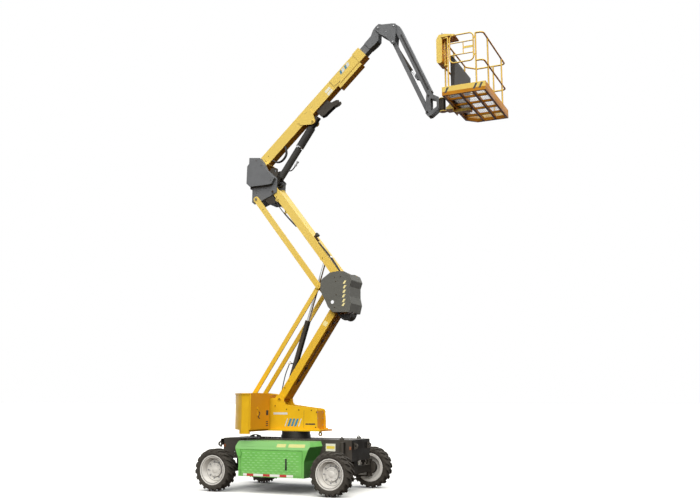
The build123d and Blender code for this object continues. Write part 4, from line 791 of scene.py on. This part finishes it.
pinEnds("mid_knuckle")
pinEnds("upper_knuckle")
pinEnds("upper_link", bothSides=False)
riserSizes = {
    "coverFace": 0.286, "knuckleFace": 0.203, "coverBolt": (0.011, 0.006), "hazardFace": 0.2875,
    "hazard": ((-0.042, -0.032), (0.004, -0.032), (0.042, 0.032), (-0.004, 0.032)),
    "hazardsAt": ((1.240, 4.198), (1.240, 4.103), (1.231, 4.008), (1.221, 3.914), (1.222, 3.819), (1.212, 3.735)),
    "midBolts": ((1.012, 4.316), (1.041, 4.227), (1.145, 4.317), (1.014, 3.683), (1.05, 3.95)),
    "upperBolts": ((-0.927, 7.049), (-0.796, 6.927), (-0.555, 6.566)),
    "lowerBolts": ((-0.961, 6.394), (-0.950, 6.331)),
    "linkBoltAt": (-0.736, 0.269, 5.920), "linkBolt": (0.010, 0.006), "tubeFace": 0.176, "tubeBolt": (0.012, 0.007),
    "film": 0.0005, "bolts1": ((0.25, 0.04), (0.42, 0.04), (2.45, 0.045), (2.30, 0.045)),
    "bolts2": ((2.387, 0.011), (2.318, 0.014), (0.556, -0.014), (2.10, 0.045), (1.978, 0.039)),
    "label1": (1.81, 1.91, -0.045, 0.050),
}
r = riserSizes
dressFlat("mid_knuckle", "hazard_mid_cover", "paleYellowTape",
          [sticker(level, [(x + dx, z + dz) for dx, dz in r["hazard"]], r["hazardFace"])
           for x, z in r["hazardsAt"]])
dress("mid_knuckle", "bolts_mid_cover", "darkBolt",
      [armHeads(level, r["midBolts"], r["coverFace"], *r["coverBolt"])])
dress("upper_knuckle", "bolts_upper_cover", "darkBolt",
      [armHeads(level, r["upperBolts"], r["coverFace"], *r["coverBolt"]),
       armHeads(level, r["lowerBolts"], r["knuckleFace"], *r["coverBolt"])])
dress("upper_link", "bolts_upper_link", "darkBolt",
      [sideHeads([r["linkBoltAt"]], *r["linkBolt"], bothSides=False)])
dress("riser_2", "fittings_riser_2", "darkBolt", [armHeads(riser2, r["bolts2"], r["tubeFace"], *r["tubeBolt"])])
dress("riser_1", "fittings_riser_1", "darkBolt", [armHeads(riser1, r["bolts1"], r["tubeFace"], *r["tubeBolt"])])

# risers: hoses with their clamps, work lamp and strut; places are (along, square, across) of each riser
hoseSizes = {
    "radius": 0.011, "thin": 0.007, "loop": 0.020, "stub": 0.013, "strut": 0.017,
    "upperRun": ((0.10, -0.135), (0.30, -0.150), (0.45, -0.158), (0.66, -0.150), (0.90, -0.133)),
    "upperAcross": (-0.150, -0.122, -0.094), "clamp": (0.04, 0.10, 0.020), "clampAt": (0.45, -0.172, -0.122),
    "lowerRun": (0.42, 0.8, 1.2, 1.6, 2.0, 2.32), "lowerAcross": (-0.070, -0.048), "lowerSquare": -0.093,
    "wave": 0.002, "lowerClamps": (0.52, 0.83, 1.51, 1.72, 1.95), "lowerClamp": (0.05, 0.08, 0.026),
    "strutAcross": -0.165, "strutRod": ((0.20, 0.078), (0.34, 0.096), (0.48, 0.098), (0.58, 0.090)),
    "strutTube": ((0.56, 0.090), (0.80, 0.072), (1.0, 0.045)),
    "tray": ((1.01, 3.556), (1.06, 3.50), (1.17, 3.437), (1.24, 3.437), (1.31, 3.485), (1.335, 3.556)),
    "trayWide": 0.20, "trayFrom": -0.125, "loopAcross": (-0.145, 0.095),
    "loopRun": ((1.02, 3.60), (1.08, 3.50), (1.20, 3.425), (1.31, 3.47), (1.345, 3.60)),
    "barrelHose": ((-0.113, -0.075, 2.612), (-0.166, -0.075, 2.493), (-0.246, -0.075, 2.3),
                   (-0.303, -0.075, 2.017)),
    "barrelStub": ((-0.13, -0.075, 2.576), (-0.09, -0.058, 2.570), (-0.047, -0.038, 2.563)),
    "barrelClamp": (0.060, 0.055, 0.042),
}
# blocks as (along, square, across, size, edge), and the lugs' places down from the upper end
blockSizes = {
    "lowerAt": (-0.094, -0.055), "bracket": (1.02, -0.145, -0.10, (0.15, 0.06, 0.035), 0.006),
    "lamp": ((1.07, -0.205, -0.10, (0.085, 0.085, 0.060), 0.014),
             (1.07, -0.172, -0.10, (0.045, 0.045, 0.020), 0.004)),
    "lugs": ((0.20, 0.064, -0.15, (0.085, 0.024, 0.070), 0.010),
             (0.57, 0.062, -0.15, (0.050, 0.024, 0.062), 0.006)),
}
h, k = hoseSizes, blockSizes
dress("riser_2", "hoses_riser_2", "blackRubber",
      [hose([riser2.at(*place, y) for place in h["upperRun"]], h["radius"]) for y in h["upperAcross"]])
dress("riser_2", "clamp_riser_2", "whiteTape",
      [moved(block((0, 0, 0), h["clamp"], 0.004),
             shift(riser2.at(*h["clampAt"])) @ riser2.matrix().to_3x3().to_4x4())])
lowerRun = [(x, h["lowerSquare"] + h["wave"] * (i % 2)) for i, x in enumerate(h["lowerRun"])]
dress("riser_1", "hoses_riser_1", "hoseSleeve",
      [hose([riser1.at(*place, y) for place in lowerRun], h["thin"]) for y in h["lowerAcross"]])
dressFlat("riser_1", "label_riser_1", "paleYellowTape", films(riser1, [r["label1"]], r["tubeFace"] + r["film"]))
dress("riser_1", "clamps_riser_1", "darkBolt",
      [armBlock(riser1, x, *k["lowerAt"], h["lowerClamp"]) for x in h["lowerClamps"]])
dress("riser_2", "lamp_riser_2", "guardPaint", [armBlock(riser2, *given) for given in k["lamp"]])
dress("riser_2", "bracket_riser_2", "darkBolt", [armBlock(riser2, *k["bracket"])])
top = riser2.length
dress("riser_2", "lug_riser_2", "yellow_paint",
      [armBlock(riser2, top - down, *given) for down, *given in k["lugs"]])
dress("riser_2", "strut_riser_2", "blackRubber",
      [hose([riser2.at(top - down, square, h["strutAcross"]) for down, square in run], radius)
       for run, radius in ((h["strutRod"], h["radius"]), (h["strutTube"], h["strut"]))])
dress("riser_1", "hose_tray_riser_1", "blackRubber",
      [moved(sheetPlate(h["tray"], h["trayWide"], 0.012), shift((0, h["trayFrom"], 0)))])
dress("riser_1", "loops_riser_1", "blackRubber",
      [hose([(x, y, z) for x, z in h["loopRun"]], h["loop"]) for y in h["loopAcross"]])
dress("riser_barrel", "hose_riser_barrel", "blackRubber",
      [hose(h["barrelHose"], h["radius"]), hose(h["barrelStub"], h["stub"])])
dress("riser_barrel", "clamp_riser_barrel", "whiteTape",
      [moved(block((0, 0, 0), h["barrelClamp"], 0.008), shift(h["barrelStub"][0]))])
print("risers dressed")

# boom: labels, stripes, a seam, painted shadow along the doubler plate's step, bolts and hoses
boomSizes = {
    "face": 0.100, "collarFace": 0.106, "labels": ((2.14, 2.29, 0.075, 0.140), (2.14, 2.29, -0.01, 0.055)),
    "stripeRise": (0.110, 0.195, 0.03), "stripesAt": (2.65, 2.80), "stripeWide": 0.05, "palesAt": (2.71, 2.86),
    "paleWide": 0.07, "seamProud": 0.0006,
    "seam": ((1.471, 0.138), (1.471, 0.143), (1.740, 0.124), (1.740, 0.120)),
    # painted shadow: dark strips along the step of the 6 mm doubler plate
    "collarStepShadows": (((2.372, 0.220), (2.377, 0.220), (2.372, 0.045), (2.367, 0.045)),
                    ((2.367, 0.043), (2.367, 0.049), (2.556, 0.020), (2.556, 0.014))),
    "footBolts": ((0.237, 0.111), (0.041, -0.010)), "footBolt": (0.011, 0.006), "footPin": (0.105, 0.066),
    "footPinHead": (0.024, 0.005, 20), "trunnionPin": (1.494, -0.149), "trunnionHead": (0.124, 0.016, 0.006, 20),
    "endBolts": ((3.17, 0.02), (3.17, 0.18), (3.27, 0.02), (3.27, 0.18)), "endBolt": (0.010, 0.006),
    "loopAcross": (-0.080, -0.044), "loopRadius": 0.017,
    "loopRun": ((0.66, -0.030), (0.61, -0.150), (0.50, -0.215), (0.36, -0.215), (0.26, -0.130), (0.24, -0.030)),
}
b = boomSizes
dressFlat("boom", "labels_boom", "blankLabel", films(boomLine, b["labels"], b["face"]))
dressFlat("boom", "stripes_boom", "blueStripe",
          stripes(boomLine, b["stripesAt"], b["stripeWide"], b["stripeRise"], b["collarFace"]))
dressFlat("boom", "pale_stripes_boom", "greyStripe",
          stripes(boomLine, b["palesAt"], b["paleWide"], b["stripeRise"], b["collarFace"]))
# a dark seam line on the boom, and dark strips painted as the shadow along the doubler plate's step
dressFlat("boom", "seams_boom", "blackTape",
          [sticker(boomLine, b["seam"], b["face"], b["seamProud"])]
          + [sticker(boomLine, seam, b["collarFace"], b["seamProud"]) for seam in b["collarStepShadows"]])
dress("boom", "bolts_boom", "darkBolt",
      [armHeads(boomLine, b["footBolts"], b["face"], *b["footBolt"]),
       armHeads(boomLine, [b["footPin"]], b["face"], *b["footPinHead"]),
       armHeads(boomLine, b["endBolts"], b["face"], *b["endBolt"])])
dress("boom", "pin_ends_trunnion", "darkBolt", [armHeads(boomLine, [b["trunnionPin"]], *b["trunnionHead"])])
dress("boom", "hoses_boom", "blackRubber",
      [hose([boomLine.at(*place, y) for place in b["loopRun"]], b["loopRadius"]) for y in b["loopAcross"]])

# boom cylinder: jacket on the barrel, and the rod's guard that slides inside it
guardSizes = {
    "rodEye": (-0.5244, 0, 6.5632), "trunnion": (0.3814, 0, 7.8336), "barrelEnd": 0.920,
    "jacket": (0.0815, 0.0890), "jacketTo": 1.440, "jacketLid": 0.0683, "lidThick": 0.012,
    "bandAlong": (0.006, 0.030), "bandProud": (0.0003, 0.005),
    "guard": (0.0695, 0.0770), "guardFrom": 0.150, "guardTo": 0.905, "guardLid": 0.0423, "guardLidThick": 0.010,
    "hose": ((0.36, -0.075), (0.37, -0.125), (0.44, -0.165), (0.54, -0.165)), "hoseAcross": -0.02,
    "hoseRadius": 0.014, "fitting": ((0.53, 0.565, 0.026), (0.567, 0.61, 0.018), (0.612, 0.65, 0.029)),
}
g = guardSizes
boomCylinder = Arm(g["rodEye"], g["trunnion"])


def tubeAlong(arm, profile):
    # a turned piece whose axis lies along an arm: closed (radius, along) profile
    return moved(lathe(profile, 40), arm.matrix() @ Matrix.Rotation(-pi / 2, 4, "Z"))


def sleeve(arm, start, end, inner, outer):
    return tubeAlong(arm, [(inner, start), (inner, end), (outer, end), (outer, start)])


inner, outer = g["jacket"]
end, lid = g["jacketTo"], g["jacketTo"] - g["lidThick"]
dress("boom_barrel", "jacket_boom_cylinder", "blackRubber",
      [tubeAlong(boomCylinder, [(inner, g["barrelEnd"]), (inner, lid), (g["jacketLid"], lid),
                                (g["jacketLid"], end), (outer, end), (outer, g["barrelEnd"])])])
bandFrom, bandTo = (g["barrelEnd"] + along for along in g["bandAlong"])
dress("boom_barrel", "band_boom_cylinder", "zincBolt",
      [sleeve(boomCylinder, bandFrom, bandTo, *(outer + proud for proud in g["bandProud"]))])
dress("boom_rod", "guard_boom_cylinder", "guardPaint",
      [sleeve(boomCylinder, g["guardFrom"], g["guardTo"], *g["guard"]),
       sleeve(boomCylinder, g["guardFrom"] - g["guardLidThick"], g["guardFrom"], g["guardLid"], g["guard"][1])])
rodHose = [boomCylinder.at(*place, g["hoseAcross"]) for place in g["hose"]]
dress("boom_rod", "hose_boom_rod", "blackRubber", [hose(rodHose, g["hoseRadius"])])
square = g["hose"][-1][1]
hoseLine = Arm(boomCylinder.at(0, square, g["hoseAcross"]), boomCylinder.at(1, square, g["hoseAcross"]))
dress("boom_rod", "fitting_boom_rod", "zincBolt",
      [sleeve(hoseLine, start, end, 0.002, radius) for start, end, radius in g["fitting"]])
print("boom dressed")

# jib: pin ends and hoses
jibSizes = {
    "pin": (0.017, 0.006, 20), "pinsAt": ((2.311, 0.124, 9.7014), (2.288, 0.124, 9.3434), (1.952, 0.126, 9.7244)),
    "bolt": (0.010, 0.006), "boltsAt": ((2.136, 0.116, 9.60), (2.136, 0.116, 9.50)),
    "bracketPin": (0.018, 0.006, 20), "bracketPinsAt": ((3.052, 0.101, 8.029), (3.029, 0.101, 7.671)),
    "hoseRun": (0.25, 0.6, 1.0, 1.4, 1.7), "hoseSquare": (0.060, 0.042), "hoseAcross": -0.071,
}
j = jibSizes
dress("jib_base", "pin_ends_jib_base", "zincBolt",
      [sideHeads(j["pinsAt"], *j["pin"]), sideHeads(j["boltsAt"], *j["bolt"])])
dress("jib_bracket", "pin_ends_jib_bracket", "blackRubber", [sideHeads(j["bracketPinsAt"], *j["bracketPin"])])
dress("jib_tube", "hoses_jib_tube", "blackRubber",
      [hose([jibTube.at(x, square, j["hoseAcross"]) for x in j["hoseRun"]], h["thin"])
       for square in j["hoseSquare"]])

# platform: open mesh floor, marks, controls
meshSizes = {"step": 0.036, "bar": 0.004, "high": 0.004, "corner": 0.1835}


def meshFloor():
    # crossed flat bars in place of the floor sheet, cut to its corner
    m = meshSizes
    low, high, middle = boxOf("floor_mesh")
    length, width = high.x - low.x, high.y - low.y
    along, across = int(length / m["step"]), int(width / m["step"])
    barX = block((0, 0, 0), (length, m["bar"], m["high"]))
    barY = block((0, 0, 0), (m["bar"], width, m["high"]))
    pieces = [moved(barX.copy(), shift((middle.x, low.y + (i + 0.5) * width / across, middle.z)))
              for i in range(across)]
    pieces += [moved(barY.copy(), shift((low.x + (i + 0.5) * length / along, middle.y, middle.z)))
               for i in range(along)]
    work = workOn(*pieces)
    bmesh.ops.bisect_plane(work, geom=work.verts[:] + work.edges[:] + work.faces[:],
                           plane_co=Vector((low.x + m["corner"], high.y, 0)), plane_no=Vector((-1, 1, 0)),
                           clear_outer=True)
    bmesh.ops.holes_fill(work, edges=[e for e in work.edges if e.is_boundary])
    obj = finishPiece("mesh_platform", meshOf(work), "zincBolt", "platform", smooth=False)
    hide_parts("floor_mesh")


meshFloor()
controlSizes = {
    "x": 3.60, "sticksY": (-0.80, -0.58), "stick": (0.008, 0.05), "boot": (0.026, 0.022), "bootTaper": 0.5,
    "bootSunk": 0.004, "buttonY": -0.69, "button": (0.02, 0.016), "buttonTaper": 0.85, "buttonSunk": 0.002,
    "hazard": ((-0.045, 7.690), (0.0, 7.690), (0.054, 7.800), (0.009, 7.800)), "hazardsX": (4.27, 4.38, 3.70),
    "hazardFace": 0.910, "hazardProud": 0.0008,
}


def upright(radius, height, x, y, z, taper=1.0):
    work = bmesh.new()
    bmesh.ops.create_cone(work, cap_ends=True, segments=20, radius1=radius, radius2=radius * taper, depth=height)
    return moved(meshOf(work), shift((x, y, z + height / 2)))


c = controlSizes
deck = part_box("console")[1][2] - 0.001
sticks = []
for y in c["sticksY"]:
    sticks.append(upright(*c["boot"], c["x"], y, deck - c["bootSunk"], c["bootTaper"]))
    sticks.append(upright(*c["stick"], c["x"], y, deck))
dress("platform", "sticks_console", "blackRubber", sticks)
dress("platform", "stop_button", "redTape",
      [upright(*c["button"], c["x"], c["buttonY"], deck - c["buttonSunk"], c["buttonTaper"])])
dressFlat("platform", "hazard_toe_boards", "blackTape",
          [sticker(level, [(x + dx, z) for dx, z in c["hazard"]], c["hazardFace"], c["hazardProud"])
           for x in c["hazardsX"]])
print("jib and platform dressed")

# floor, light, camera
studio = {
    "floorColour": "#F7F7F5", "floorHalf": 400.0, "sky": 1.0, "underside": "#4A3A2C",
    # name, toward the light, strength, spread in degrees, colour
    "lights": (("key", (0.30, -0.45, 0.86), 5.3, 95.0, "#FFFDF8"),
               ("fill", (0.30, -0.92, 0.25), 0.9, 60.0, "#FFFFFF"),
               ("bounce", (0.10, -0.30, -1.0), 0.3, 120.0, "#FFD2A0"),
               ("back", (-0.50, 0.80, 0.32), 1.3, 90.0, "#F4F7FF")),
}


def makeStudio():
    material = newMaterial("paleFloor")[0]
    surface(material, {"Base Color": linearColour(studio["floorColour"]), "Roughness": 0.9}, {})
    half = studio["floorHalf"]
    sweep = [(-half, -half, 0), (half, -half, 0), (half, half, 0), (-half, half, 0)]
    floor = placed("floor", meshFrom(sweep, [(0, 1, 2, 3)]))
    floor.data.materials.append(material)
    floor.visible_diffuse = False
    floor.visible_glossy = False
    world = bpy.data.worlds.new("studioLight")
    bpy.context.scene.world = world
    world.use_nodes = True
    sky = world.node_tree
    background = sky.nodes["Background"]
    height = axes(sky, addNode(sky, "ShaderNodeTexCoord"), "Generated")
    shade = twoShades(sky, studio["underside"], "#FFFFFF", ramp(sky, height, "Z", -0.3, -0.03), "Result")
    sky.links.new(shade.outputs["Result"], background.inputs["Color"])
    background.inputs["Strength"].default_value = studio["sky"]
    world.cycles_visibility.diffuse = False
    for name, toward, strength, spreadAngle, colour in studio["lights"]:
        light = bpy.data.lights.new(name, "SUN")
        light.energy = strength
        light.angle = radians(spreadAngle)
        light.color = linearColour(colour)[:3]
        lamp = placed(name, light)
        lamp.rotation_euler = Vector(toward).to_track_quat("Z", "Y").to_euler()


view = {"place": (8.288, -15.678, 1.784), "azimuth": 24.226, "elevation": -10.191, "lens": 42.69, "sensor": 36.0}


def makeCamera():
    data = bpy.data.cameras.new("camera")
    data.lens = view["lens"]
    data.sensor_width = view["sensor"]
    data.clip_end = 2000.0
    camera = placed("camera", data)
    camera.location = view["place"]
    a, e = radians(view["azimuth"]), radians(view["elevation"])
    back = Vector((sin(a) * cos(e), -cos(a) * cos(e), sin(e)))
    camera.rotation_euler = (-back).to_track_quat("-Z", "Y").to_euler()
    bpy.context.scene.camera = camera


makeStudio()
makeCamera()
bpy.context.scene.view_settings.view_transform = "Standard"
print("studio ready")
